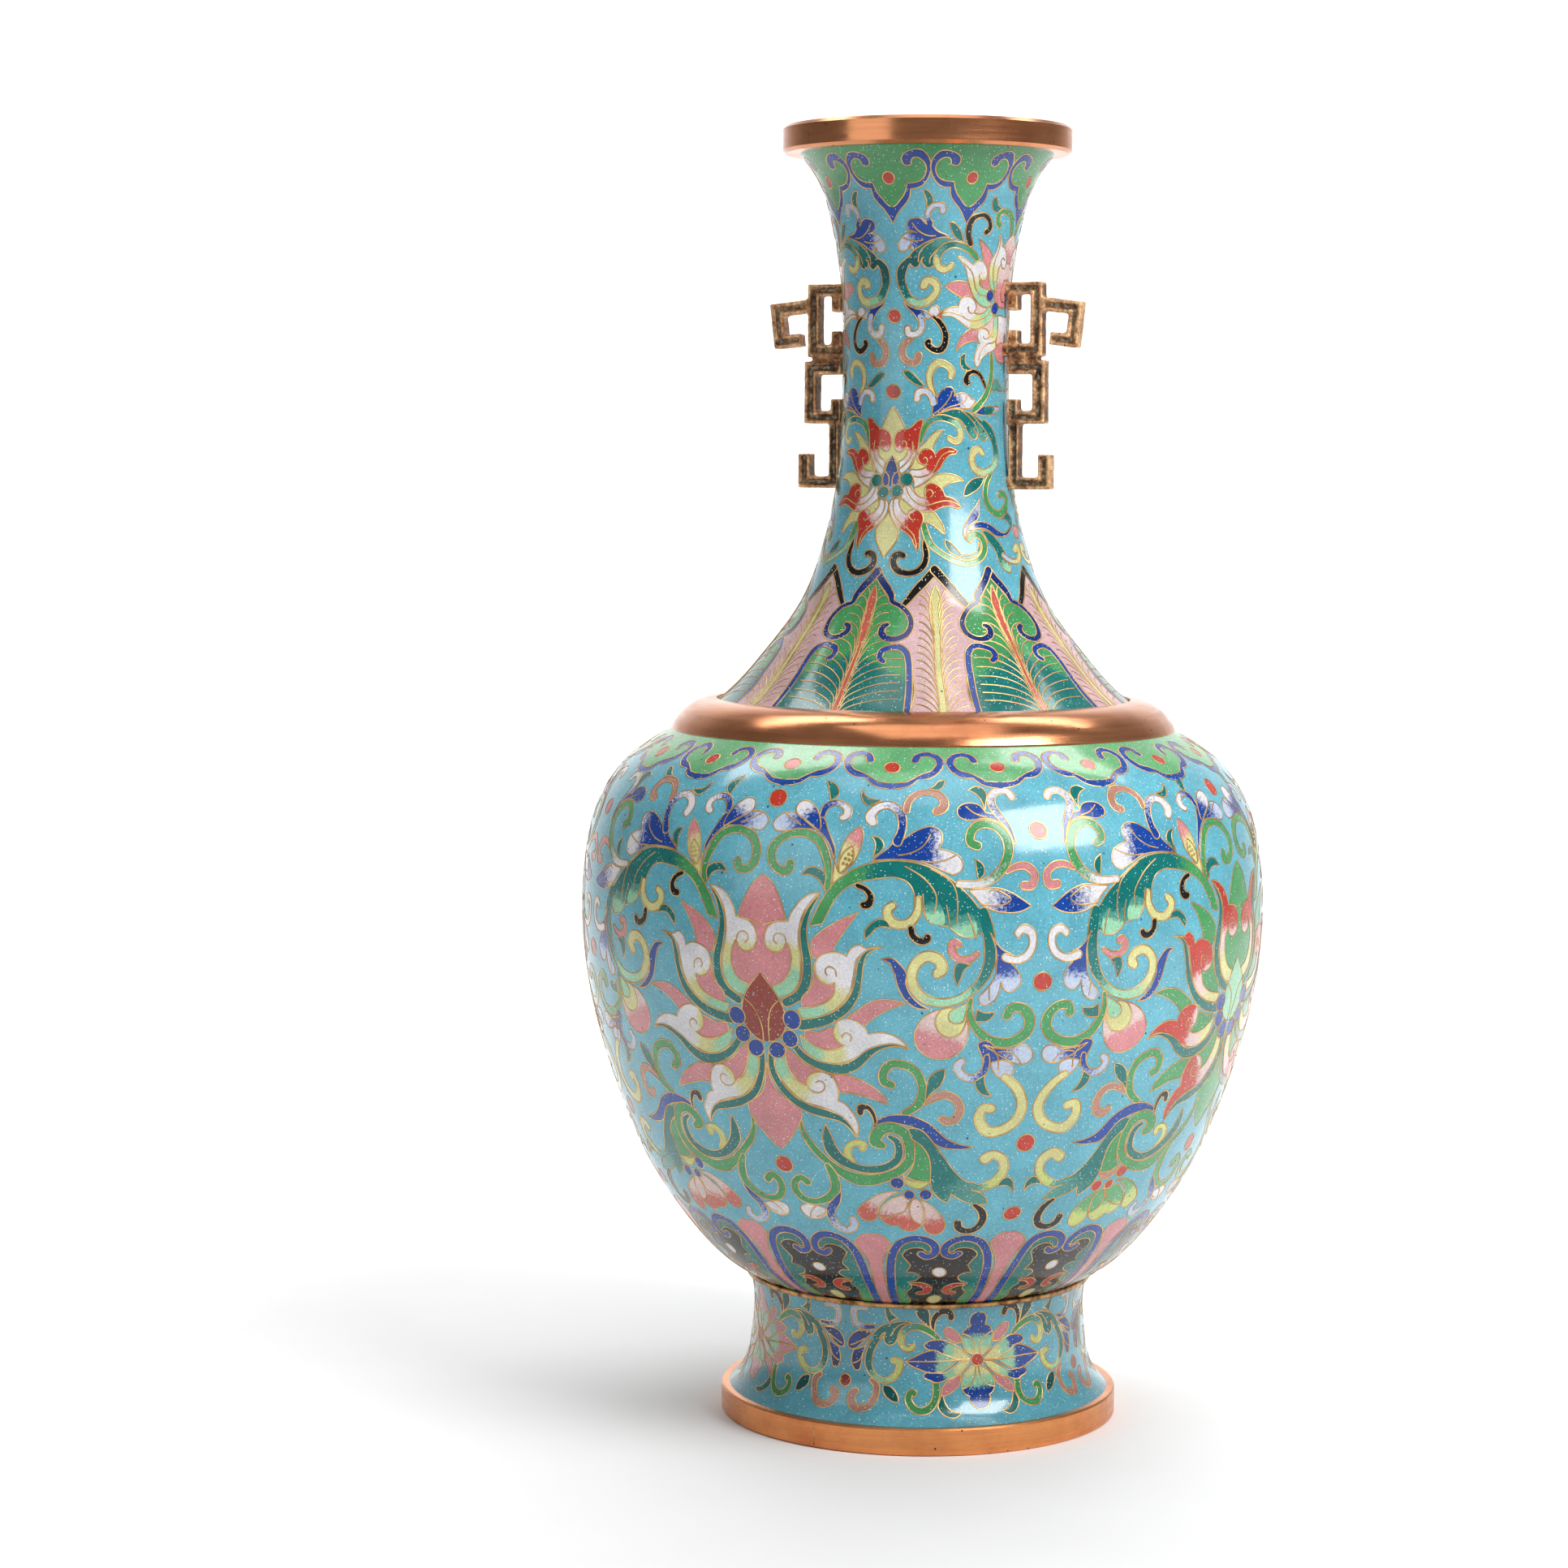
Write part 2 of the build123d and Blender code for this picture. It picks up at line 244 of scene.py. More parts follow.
class Pen:
    """Draws in one mirrored part of the pattern, whose own angles run from 0 to half."""

    def __init__(self, sheet, axis, side, half, swap=None):
        self.sheet, self.axis, self.side, self.half = sheet, axis, side, half
        self.swap = swap or {}
        self.name = (round(axis, 2), side)

    def put(self, line):
        out = line[:, :2].copy()
        out[:, 0] = self.axis + self.side * out[:, 0]
        return out

    def colours(self, text):
        return [self.swap.get(c, c) for c in text.split()]

    def seam(self, line):
        return (np.abs(line[:, 0]) < SEAM_REACH) | (np.abs(line[:, 0] - self.half) < SEAM_REACH)

    def key(self, group):
        return None if group is None else (group, self.name)

    def leaf(self, colours, outline, fade=None, group=None):
        points, corners = numbers(outline)
        scale = float(self.sheet.wall.mm_per_degree(points[:, 1].mean()))
        line = smooth(points, corners, scale, True)
        path = self.put(numbers(fade)[0] if fade else points[[0, len(points) // 2]])
        self.sheet.add(self.put(line), self.colours(colours), path, self.key(group), self.seam(line))

    def curl(self, colours, path, group=None):
        points, corners = numbers(path)
        scale = float(self.sheet.wall.mm_per_degree(points[:, 1].mean()))
        mid = smooth(points, corners, scale, False)
        k = self.sheet.wall.mm_per_degree(mid[:, 1])
        along = np.gradient(mid[:, :2], axis=0) * np.stack([k, np.ones_like(k)], axis=1)
        along /= np.linalg.norm(along, axis=1)[:, None] + 1e-9
        across = np.stack([-along[:, 1], along[:, 0]], axis=1)
        half = mid[:, 2:3] / 2

        def off(i, x, y):
            q = x * across[i] * half[i] + y * along[i] * half[i]
            return mid[i, :2] + q / np.array([k[i], 1])

        left = [off(i, 1, 0) for i in range(len(mid))]
        right = [off(i, -1, 0) for i in range(len(mid))]
        turn = np.linspace(0, math.pi, 9)[1:-1]
        last = len(mid) - 1
        cap_end = [off(last, math.cos(a), math.sin(a)) for a in turn]
        cap_start = [off(0, -math.cos(a), -math.sin(a)) for a in turn]
        line = np.array(left + cap_end + right[::-1] + cap_start)
        self.sheet.add(self.put(line), self.colours(colours), self.put(mid[::3]), self.key(group))

    def dot(self, colour, u, s, radius, tall=1.0):
        """A round cell. One on the mirror line is drawn by one side only, after all else."""
        on_seam = u in (0, self.half)
        if self.side < 0 and on_seam:
            return
        a = np.linspace(0, 2 * math.pi, ROUND_POINTS, endpoint=False)
        k = float(self.sheet.wall.mm_per_degree(s))
        line = np.stack([u + radius / k * np.cos(a), s + radius * tall * np.sin(a)], axis=1)
        shape = (self.put(line), self.colours(colour), self.put(line[[0, ROUND_POINTS // 2]]))
        if on_seam:
            self.sheet.late.append(shape)
        else:
            self.sheet.add(*shape)

    def vein(self, *paths):
        for path in paths:
            points, corners = numbers(path)
            scale = float(self.sheet.wall.mm_per_degree(points[:, 1].mean()))
            line = smooth(points, corners, scale, False)
            self.sheet.add(self.put(line), closed=False)


# ---- building the enamel and the wires ----
def waver(line):
    """The drawn line as a craftsman bent it: slightly off, the same for cells and wires."""
    u, s = line[:, 0], line[:, 1]
    a = np.radians(u)
    du = 0.16 * np.sin(5 * a + 0.31 * s) + 0.12 * np.sin(11 * a - 0.47 * s + 1.3)
    ds = 0.14 * np.sin(7 * a + 0.29 * s + 0.7) + 0.10 * np.sin(16 * a - 0.53 * s)
    return np.stack([u + du, s + ds], axis=1)


def make_mesh(name, verts, faces, material, nodes):
    mesh = bpy.data.meshes.new(name)
    mesh.from_pydata(verts.tolist(), [], faces)
    mesh.materials.append(material)
    mesh.polygons.foreach_set("use_smooth", np.ones(len(mesh.polygons), bool))
    obj = bpy.data.objects.new(name, mesh)
    bpy.context.scene.collection.objects.link(obj)
    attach(obj, "root")
    if nodes:
        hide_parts(*nodes)
    return obj


def shade(points, shape):
    """Two colours and the mix between them, for points in one cell."""
    names = shape["colours"]
    stops = np.array([COLOUR[n] for n in names])
    if len(stops) == 1:
        return np.repeat(stops, len(points), 0), np.repeat(stops, len(points), 0), np.zeros(len(points))
    path = shape["fade"] * np.array([shape["k"], 1])
    q = points * np.array([shape["k"], 1])
    seg = np.diff(path, axis=0)
    length = np.linalg.norm(seg, axis=1) + 1e-9
    start = np.concatenate([[0], np.cumsum(length)])
    best = np.full(len(q), 1e9)
    t = np.zeros(len(q))
    for i in range(len(seg)):
        x = np.clip(((q - path[i]) @ seg[i]) / length[i] ** 2, 0, 1)
        d = np.linalg.norm(q - path[i] - x[:, None] * seg[i], axis=1)
        near = d < best
        best[near] = d[near]
        t[near] = (start[i] + x[near] * length[i]) / start[-1]
    t = t * (len(stops) - 1)
    tri = t.reshape(-1, 3).mean(axis=1).repeat(3)
    i = np.clip(tri.astype(int), 0, len(stops) - 2)
    return stops[i], stops[i + 1], np.clip(t - i, 0, 1)


def sector_net(sheet, u0, u1, s_low, k0):
    """Points and edges to triangulate in one sector: its border, a loose grid and every outline."""
    s_high = sheet.wall.length
    verts, edges = [], []

    def loop(points):
        first = len(verts)
        verts.extend(points.tolist())
        edges.extend((first + i, first + i + 1) for i in range(len(points) - 1))
        edges.append((first + len(points) - 1, first))

    rows = max(2, int((s_high - s_low) / GRID))
    cols = max(2, int((u1 - u0) * k0 / GRID))
    ss = np.linspace(s_low, s_high, rows + 1)
    uu = np.linspace(u0, u1, cols + 1)
    border = ([(u, s_low) for u in uu] + [(u1, s) for s in ss[1:]]
              + [(u, s_high) for u in uu[-2::-1]] + [(u0, s) for s in ss[-2:0:-1]])
    loop(np.array(border))
    for i, s in enumerate(ss[1:-1]):
        shift = 0.5 * (i % 2)
        for j in range(1, cols - 1):
            verts.append([u0 + (j + shift) * (u1 - u0) / cols, s])
    for shape in sheet.shapes:
        if not shape["closed"]:
            continue
        for turn in WHOLE_TURNS:
            if shape["low"][0] + turn < u1 and shape["high"][0] + turn > u0:
                loop(waver(shape["line"]) + np.array([turn, 0]))
    return verts, edges


def doubled_area(corners):
    """Twice each triangle's area, with the sign of the way it turns."""
    a, b, c = (corners[:, i] for i in range(3))
    return (b[:, 0] - a[:, 0]) * (c[:, 1] - a[:, 1]) - (c[:, 0] - a[:, 0]) * (b[:, 1] - a[:, 1])


def triangulated(sheet, u0, u1, s_low, k0):
    """Points and triangles that fill one sector and keep every outline in it."""
    verts, edges = sector_net(sheet, u0, u1, s_low, k0)
    flat = [Vector((u * k0, s)) for u, s in verts]
    out, _, tris, *_ = delaunay_2d_cdt(flat, edges, [], 0, WELD, False)
    out = np.array([(v.x / k0, v.y) for v in out])
    tris = np.array(tris)
    u, s = out[tris].mean(axis=1).T
    kept = (u > u0) & (u < u1) & (s > s_low) & (s < sheet.wall.length)
    return out, tris[kept & (np.abs(doubled_area(out[tris])) > SLIVER)]


def paint(mesh, sheet, corners, top, ground):
    """Writes the colours of each triangle's corners, from the topmost shape over it."""
    first = np.tile(ground, (len(corners), 1)).astype(float)
    second, mix = first.copy(), np.zeros(len(corners))
    for i in np.unique(top):
        if i >= 0:
            mine = np.repeat(top == i, 3)
            shape = sheet.shapes[i]
            first[mine], second[mine], mix[mine] = shade(unturned(corners[mine], shape), shape)
    for label, value in (("enamel_a", first), ("enamel_b", second)):
        layer = mesh.color_attributes.new(label, "FLOAT_COLOR", "CORNER")
        layer.data.foreach_set("color", np.concatenate([value, np.ones((len(value), 1))], 1).ravel())
    mesh.attributes.new("enamel_mix", "FLOAT", "CORNER").data.foreach_set("value", mix)


def make_enamel(sheet, name, sectors, material, nodes, ground, s_low):
    """The enamel skin of one wall, in equal sectors."""
    wall = sheet.wall
    k0 = float(wall.mm_per_degree(wall.length / 2))
    for shape in sheet.shapes:
        shape["k"] = float(wall.mm_per_degree((shape["low"][1] + shape["high"][1]) / 2))
    wide = 360 / sectors
    for n in range(sectors):
        u0, u1 = -180 + n * wide, -180 + (n + 1) * wide
        points, tris = triangulated(sheet, u0, u1, s_low, k0)
        top = wavered_top(sheet, points[tris].mean(axis=1))
        used, tris = np.unique(tris, return_inverse=True)
        tris = tris.reshape(-1, 3)
        points = points[used]
        flip = doubled_area(points[tris]) > 0
        tris[flip] = tris[flip][:, ::-1]
        place = wall.place(points[:, 0], points[:, 1], -ENAMEL_DEPTH)
        mesh = make_mesh(f"{name}_{n + 1}", place, tris.tolist(), material, nodes).data
        mesh.normals_split_custom_set_from_vertices(wall.normal(points[:, 0], points[:, 1]).tolist())
        paint(mesh, sheet, points[tris].reshape(-1, 2), top, ground)


def unturned(points, shape):
    """Points moved by whole turns to lie beside the shape."""
    out = points.copy()
    middle = (shape["low"][0] + shape["high"][0]) / 2
    out[:, 0] -= 360 * np.round((out[:, 0] - middle) / 360)
    return out


def wavered_top(sheet, points):
    """For each point, the number of the topmost wavered shape over it, or -1 on the ground."""
    top = np.full(len(points), -1)
    for i, shape in enumerate(sheet.shapes):
        if not shape["closed"]:
            continue
        line = shape.setdefault("wavered", waver(shape["line"]))
        low, high = line.min(axis=0), line.max(axis=0)
        for turn in WHOLE_TURNS:
            moved = points - np.array([turn, 0])
            near = np.nonzero(((moved >= low) & (moved <= high)).all(axis=1))[0]
            if len(near):
                top[near[inside(moved[near], line)]] = i
    return top


def runs(hidden, closed):
    """The visible stretches of a line, as lists of point numbers."""
    n = len(hidden)
    if not hidden.any():
        return [list(range(n)) + ([0] if closed else [])]
    if hidden.all():
        return []
    start = int(np.nonzero(hidden)[0][0]) if closed else 0
    order = [(start + i) % n for i in range(n)] if closed else list(range(n))
    found, run = [], []
    for i in order:
        if hidden[i]:
            if len(run) > 1:
                found.append(run)
            run = []
        else:
            run.append(i)
    if len(run) > 1:
        found.append(run)
    return found


def directions(line, k):
    """Unit directions along a line (u, s), measured in millimetres."""
    flat = np.stack([line[:, 0] * k.mean(), line[:, 1]], axis=1)
    if np.allclose(line[0], line[-1]) and len(line) > 4:
        along = np.roll(flat[:-1], -1, 0) - np.roll(flat[:-1], 1, 0)
        along = np.concatenate([along, along[:1]])
    else:
        along = np.gradient(flat, axis=0)
    return along / (np.linalg.norm(along, axis=1)[:, None] + 1e-9)


def ribbon(wall, line):
    """Points of a raised ribbon along a line, one row of the wire's section after another."""
    k = wall.mm_per_degree(line[:, 1])
    along = directions(line, k)
    columns = []
    for across, depth, _ in WIRE_SECTION:
        reach = across * WIRE_WIDTH
        u = line[:, 0] - along[:, 1] * reach / k
        s = line[:, 1] + along[:, 0] * reach
        columns.append(wall.place(u, s, -depth))
    return np.stack(columns, 1).reshape(-1, 3)


def visible_lines(sheet, s_low, s_high):
    """The wavered, uncovered stretches of every outline between two distances."""
    for i, shape in enumerate(sheet.shapes):
        for run in runs(sheet.hidden(i), shape["closed"]):
            line = waver(shape["line"][run])
            outside = (line[:, 1] <= s_low) | (line[:, 1] >= s_high)
            for piece in runs(outside, False):
                if len(piece) > 1:
                    yield line[piece]


def make_wires(sheet, name, sectors, material, s_low):
    """The raised wires of one wall, in equal sectors. A wire goes with the sector of its middle."""
    wall = sheet.wall
    tone = [brightness for _, _, brightness in WIRE_SECTION]
    m = len(WIRE_SECTION)
    parts = [([], [], []) for _ in range(sectors)]
    for line in visible_lines(sheet, s_low + WIRE_MARGIN, wall.length - WIRE_MARGIN):
        middle = (line[:, 0].mean() + 180) % 360
        verts, faces, tones = parts[int(middle / 360 * sectors) % sectors]
        first = sum(len(v) for v in verts)
        verts.append(ribbon(wall, line))
        tones.append(np.tile(tone, len(line)))
        for row in range(len(line) - 1):
            base = first + row * m
            for q in range(m - 1):
                faces.append((base + q, base + m + q, base + m + q + 1, base + q + 1))
    for n, (verts, faces, tones) in enumerate(parts):
        if not faces:
            continue
        obj = make_mesh(f"{name}_{n + 1}", np.concatenate(verts), faces, material, ())
        layer = obj.data.attributes.new("wire_tone", "FLOAT", "POINT")
        layer.data.foreach_set("value", np.concatenate(tones))


# ---- body pattern ----
def body_ground(p):
    """Small leaves, curls and flowers between one lotus and the next. Angles 0 to 45."""
    p.dot("red", 0, 12.2, 1.7)
    p.leaf("teal", "8.3,7.9* 10.6,9.2 11.2,10.8 10,12.2* 9.4,10.4")
    p.leaf("blue blue", "11.9,23.2* 10.9,20.6 9.2,18.6 7.2,17.6 5.2,17* 9.5,16 10.2,17.6 11.3,19.8 12,21.5")
    p.leaf("blue lavender", ".5,17 1,15.6 2.5,14.8 4.4,15 6,16.3 8.5,18* 5.5,17.9 3,18.2 1.3,18.2",
           "7,17.2 1,16.5")
    p.vein("1.9,14.9 5.6,17.2")
    p.leaf("white blue", "4,14.3 4.3,12.9 5.6,12.4 7.2,13.3 8.8,16.3* 9,18 6.3,16.3 4.6,15.3", "5,13 8,16.5")
    p.curl("blue white", "9,15.2,1.1 9.4,13.6,1.2 10.7,12.6,1.2 12.2,12.8,1.2 13.4,13.9,1.3 13.3,15.2,1.4 "
           "12.7,15.6,1.2")
    p.curl("green", "10.9,28.3,1 11.2,25.5,1.2 10.6,22.5,1.3 9.2,20,1.4 7,18.7,1.4 4.8,18.6,1.4 "
           "2.6,19.7,1.5 1.4,22,1.6 1.8,24.4,1.5 3.2,25.6,1.4 4.6,25.2,1.5 4.8,24.3,1.5")
    p.leaf("pink yellow", "16,17.4 14.5,18.4 13.4,20.2 12.8,22.5 12.7,24.5 12.9,25.4* 15,23.6 15.6,22.5 "
           "16.2,20.5 16.4,18.3", "15.5,18.5 13.5,22")
    p.vein("12.9,25.2 12.9,23.2 13.8,21.5 14.8,20.9 15.1,21.8 14.8,23.4 13.6,24.8")
    p.leaf("yellow", "12.1,22.8* 13.4,25.4 14,25 11.8,27.5* 12,25")
    for u, s in ((14.9, 21.7), (14.3, 22.2), (13.8, 22.9), (13.5, 23.7), (14.4, 23.1), (14.9, 22.4),
                 (14.1, 23.9)):
        p.dot("black", u, s, 0.16)
    p.leaf("teal", "6.7,26.2* 8,24.7 9.6,24.8 10.6,25.6 10.2,28.2* 9.4,26.6 8,26")
    p.leaf("green green teal teal teal sea", "8.2,34.5* 9.2,31.4 10.8,28.8 13,26.2 15.5,24.4 18.5,23.4 "
           "22,23.1 26,23.7 29,25.2 32,27.9 34.6,30.9 36.6,34.4* 34.2,36.2* 32.8,36 31.4,35.2 30.6,34.4* "
           "28.7,34 27.4,33.6 26.9,32.6 26.2,30.8* 24.8,30.5* 24.6,28.4 23.5,26.6 21.5,25.8 19,26 16,26.7 "
           "13.5,28.2 11.5,31 10.2,34*", "10,32 16,25.5 24,25 33,30 32,36.5", "scroll")
    p.leaf("teal sea pale pale", "26.2,31* 26.9,33 28.2,33.9 29.6,33.9 29.2,31 27.5,29*",
           "28,29.5 28.3,33.9", "scroll")
    p.leaf("teal sea pale pale", "30.4,34.3* 31.6,35.5 33,36.2 34.6,35.9 34.4,33 32.4,31*",
           "32.3,31.5 33.2,36.2", "scroll")
    p.curl("teal teal pale yellow yellow", "35.6,32,1.7 36.4,34.5,1.9 36.7,37.5,2 36.2,41,1.9 "
           "34.2,44.7,1.4 31.3,46.9,1.5 28.4,47.3,1.6 25.7,46,1.7 24.5,43.3,1.7 25,40.9,1.7 26.8,39.5,1.7 "
           "28.6,40.1,1.8 29,41.6,1.9 28.4,42.2,1.6", "scroll")
    p.curl("yellow", "25.4,29.3,.9 25.4,31.6,1.4 24.3,33.6,1.6 22.4,34.1,1.6 20.9,33,1.6 20.7,31.3,1.6 "
           "21.4,30.6,1.4")
    p.vein("23,24 26.5,26.5 28.2,29.5 28,32", "27,24.3 30.5,27 31.6,31 31.6,33.8",
           "26,28.5 26.4,31 26.9,33", "29.8,30.5 30.4,33 30.6,34.5", "33.2,32 34,34 34.6,36.5")
    p.leaf("blue blue white", "17.8,23.2* 19,22.2 20.5,21 22,19.5 22.9,19.5* 24.8,18 26.5,17.2 28,17.1 "
           "29.2,18 29.3,19.5 28.6,20.7* 30.3,21.1 31.9,22.1 32.3,23.5 31.7,24.8 30.5,25.3* 28.5,24.4 "
           "26,23.3 22,22.9", "20,22 31,22")
    p.vein("22,22.2 24.5,21.5 26.5,20 27.5,18.3", "25.5,23 28.5,23 31.3,21.8")
    p.curl("blue white", "22,19.8,1.6 22.8,17.8,1.4 22.8,15.6,1.4 21.7,13.7,1.4 20,12.95,1.4 18.2,13.7,1.6 "
           "17.5,15.2,1.8 18,16.3,1.6")
    p.curl("brick", "23.4,14.2,1 23.4,12.6,1.2 24.6,10.9,1.2 26.6,10.3,1.3 28.6,10.8,1.4 29.6,12.4,1.5 "
           "29.2,13.9,1.6 28.4,14.3,1.5")
    p.leaf("teal", "29.9,7.4* 29.6,8.8 28.8,9.6 27,9.4* 28,8.6 28.8,7.6")
    p.leaf("teal", "15.2,9.7* 15.9,11 17,11.7 18.8,11.9* 18,12.6 16.7,13 15.6,11.9 15.1,10.6")
    p.leaf("teal", "17.8,19* 19.2,19.3 19.8,20.6 19.6,21.2 18,22.6* 18.4,21.2 18.3,19.8")
    p.leaf("teal", "34,9.9* 35.4,9.1 36.8,9.6 37.3,10.6 36.9,12.5 36.5,14* 36.2,12 35.3,10.6")
    p.leaf("teal", "34.3,22.4* 35.5,23.5 35.6,25 34.6,26.2* 34.4,24.6")
    p.leaf("blue", "40.6,19.8* 39.8,17.6 38.6,16.2 37,15.5 35.5,15.6 33.4,15.9 32,15.2 31.8,13.9 32.6,12.9 "
           "34.2,12.5 35.6,12.9 36.6,14.4* 38.4,14.8 40.2,17")
    p.vein("33.3,13.2 34.8,14.6 36.6,15.2")
    p.curl("blue white", "40.8,20,.3 40,17,.8 38.6,14.5,1.3 37.9,12.8,1.4 38.2,11.2,1.4 39.6,10.1,1.3 "
           "41.2,10.4,1.3 41.8,11.4,1.3")
    p.curl("white green green", "31.5,26.9,1.2 35.5,26.8,1.5 38,25,1.6 39.6,22,1.6 39.4,18.9,1.6 "
           "37.6,16.8,1.5 35.2,16.7,1.4 33.8,18.2,1.4 33.7,19.7,1.4 34.8,20.3,1.4")
    p.curl("pink", "39.4,24.9,.6 41,24,1.2 42.8,24.2,1.3 44,25.7,1.3 43.4,27.4,1.5 42.2,27.4,1.5")
    p.leaf("white blue", "33.2,28.2 35,27.9 37.5,27.7 40,28.6 42,30 43.3,31* 41.5,32 39,32.2 36.8,31.6 "
           "35,30.3 33.9,29", "34,28.5 42,31.5")
    p.vein("36.3,28.5 37,28 38.5,28.6 39.9,29.9 39,30.7 37,30.9 35,30.6")
    p.dot("red", 45, 17.6, 1.6)
    p.leaf("teal", "17.3,36.6* 17.1,35.2 18,33.9 19.5,33.1 20.3,33.3 21.2,34.9* 20,34.5 18.8,34.8 18,35.8")
    p.leaf("blue", "19.9,40* 21.5,39.8 22.9,41 23.7,42.3 23.6,44 24.2,46 25.5,47.6 27.2,48.6* 24.8,48.3 "
           "23.3,47 22.4,45 21.9,42.6 21.2,40.8")
    p.curl("black", "24.4,34.8,1.2 24.7,36.2,1.2 25.8,37,1.2 26.9,36.6,1.3 27,36.3,1.2")
    p.curl("black", "15.8,27.3,.9 17.1,27.9,1 17.9,29.2,1.2 17.4,30.6,1.5 16.7,30.7,1.3")
    p.curl("pink", "34.6,38.9,.8 33,40,1.2 31.4,39.8,1.3 30.6,38.3,1.4 31.2,37.1,1.4 31.7,37.4,1.3")
    p.leaf("teal", "31.4,44.2* 30.8,42.5 31.2,40.7 33.4,40.9* 32.3,41.8 31.9,43")
    p.leaf("blue lavender", "36.8,35.2* 37.6,36.8 38.7,38.2 40.2,39.2 39.6,40.4* 40.9,41.9 41.4,43.5 "
           "40.9,45 39.8,45.7 38.8,45.3 38.1,43.8* 38,45.4 37.3,47.2 36.2,47.8 35.2,47.4 35,46.3 35.8,45.2 "
           "36.9,43.5 37.4,41 37.6,38", "38.5,41 39,45")
    p.vein("36.3,44.5 36.6,47")
    p.curl("white", "39,39.5,1.4 41,39.9,1.3 42.7,39,1.3 43.5,37.2,1.3 43.2,35.5,1.4 42,34.8,1.3 "
           "41.2,35.5,1.3")
    p.dot("red", 45, 44, 1.75)
    p.curl("green", "33.7,46.8,.8 33.6,49,1 34.4,51.5,1.3 36.2,53.9,1.5 38.8,55,1.7 41.6,54.4,1.7 "
           "43.4,52.6,1.8 43.5,50.4,1.8 42,48.7,1.6 40.3,48.6,1.6 39.8,49.9,1.6")
    p.leaf("teal", "34.8,48.5* 35.8,49.2 37.7,49.3 36.9,50.6 35.6,51 34.6,50.9*")
    p.leaf("blush pink pink", "28,48.9 25.8,50.6 24.9,53 25.6,55.6 27.3,57.3 29.3,57.8 31.6,57 33.2,54.8 "
           "33.5,53 33.1,50 31,48.6", "30,52 28,57.8")
    p.leaf("yellow", "28.9,48.9 28.1,51 28.8,52.8 30.5,53.8 32,53.4 33,51.6 33.1,49")
    p.leaf("pale", "33.3,47.3* 33,49.5 32.6,51 31.4,51.3 30.3,50.5 30.4,49.2 31.3,48.4")
    p.leaf("blue", "35.2,55 36.6,54.6 38,55.8 39.5,57 39.6,58.2 37.8,58.5 36.4,58.7 35.8,57.2")
    p.curl("blue lavender", "36.6,57.5,1 36.4,59.5,1.2 35.5,60.8,1.4 34,61.2,1.4 32.6,60.4,1.4 32.1,59,1.4 "
           "32.7,58.2,1.3")
    p.leaf("lavender", "37.3,58.4* 37.6,59.6 39.3,61.2 40.5,61 41.1,60 40.8,58.8 39.5,58.1")
    p.leaf("blue lavender", "36,55.3* 38,55.9 40.7,56.2* 42,55.5 43.4,55.6 44.2,56.8 43.9,58.2 42.8,58.8 "
           "41.2,58.6 39.8,57.9", "38,56 43.5,57.5")
    p.vein("37.2,55.6 38.2,57 38.6,59.8", "38.4,56.7 40,56.6 41.5,57.6 42.2,58.7")
    p.leaf("teal", "34.9,61.8* 35.2,63.2 36.3,64.4 37.8,64.7* 37,63.4 36.5,61.8 36.4,60.6*")
    p.curl("yellow", "39.8,61.1,1.3 41.6,62.6,1.6 43.2,65.4,1.8 43.5,67.6,1.9 42.3,70.2,1.9 40.1,71.6,1.9 "
           "38,71.7,1.9 36.4,70.2,1.8 35.9,68.4,1.7 36.7,67,1.6 37.9,67.2,1.7")
    p.curl("green", "23.2,67.9,1.2 25.4,66,1.5 26.1,63,1.5 25.4,60.4,1.5 23.4,59,1.5 21.2,59,1.5 "
           "19.9,60.6,1.5 20,62.2,1.5 21.1,62.6,1.3")
    p.leaf("teal", "30.1,59.6* 28.4,60.3 27.2,61.6 26.8,63 26.5,65.6* 27.6,64 28.9,63 29.8,61.5")
    p.curl("brick", "26.6,66,.5 28,64.9,1.2 29.8,64.4,1.4 31.6,65.2,1.4 32.4,67.2,1.5 31.6,69.1,1.5 "
           "30.2,69.4,1.3 29.6,68.8,1.3")
    p.leaf("blue", "17.6,70.9* 18.5,69.6 20,68.7 22,68.3 24.5,68.4 26,69 28,70.2 29.5,71.8 31,73.2 33,74.2 "
           "35.7,74.8* 34,75.3 32,75.3 30,74.9 28.6,74 27,72.2 25.2,70.9 23,70.2 20.5,69.9 18.9,70.4")
    p.curl("black", "18.2,70,.6 17.9,68.4,.8 17,67.2,1 15.9,67.3,1.3 15.7,68.2,1.2")
    p.curl("lime", "14,78,.8 13,76.6,1.2 13.2,74.9,1.2 14.5,74,1.2 15.8,74.4,1.3 15.6,75.1,1.2")
    p.curl("green", "4.6,70.5,.5 4.9,72.9,.9 6.1,75,1.2 7.9,77,1.3 9.7,78.7,1.3 11.8,80.4,1.8 "
           "14.3,81.6,2.4 17.5,81.8,2.2 20.4,80.9,1.9 22.7,79.4,1.8 24.2,77,1.8 24.2,74.3,1.8 "
           "22.9,71.6,1.9 20.6,70.8,2 18.4,72,2.2 18,73.6,2.2 19.2,74.3,1.4")
    p.curl("teal", "9.1,70.8,.2 9.2,73,1.6 9.8,75.4,2.2 11.6,77.6,1.9 14.4,79.2,1.5 17.4,79.65,1.6 "
           "20,79,1.7 21.9,77.2,1.5 22.3,75.2,1.4 21.8,73.4,1.2 20.6,72.6,.8")
    p.dot("red", 45, 74.3, 1.6)
    p.dot("red", 45, 89.2, 1.6)
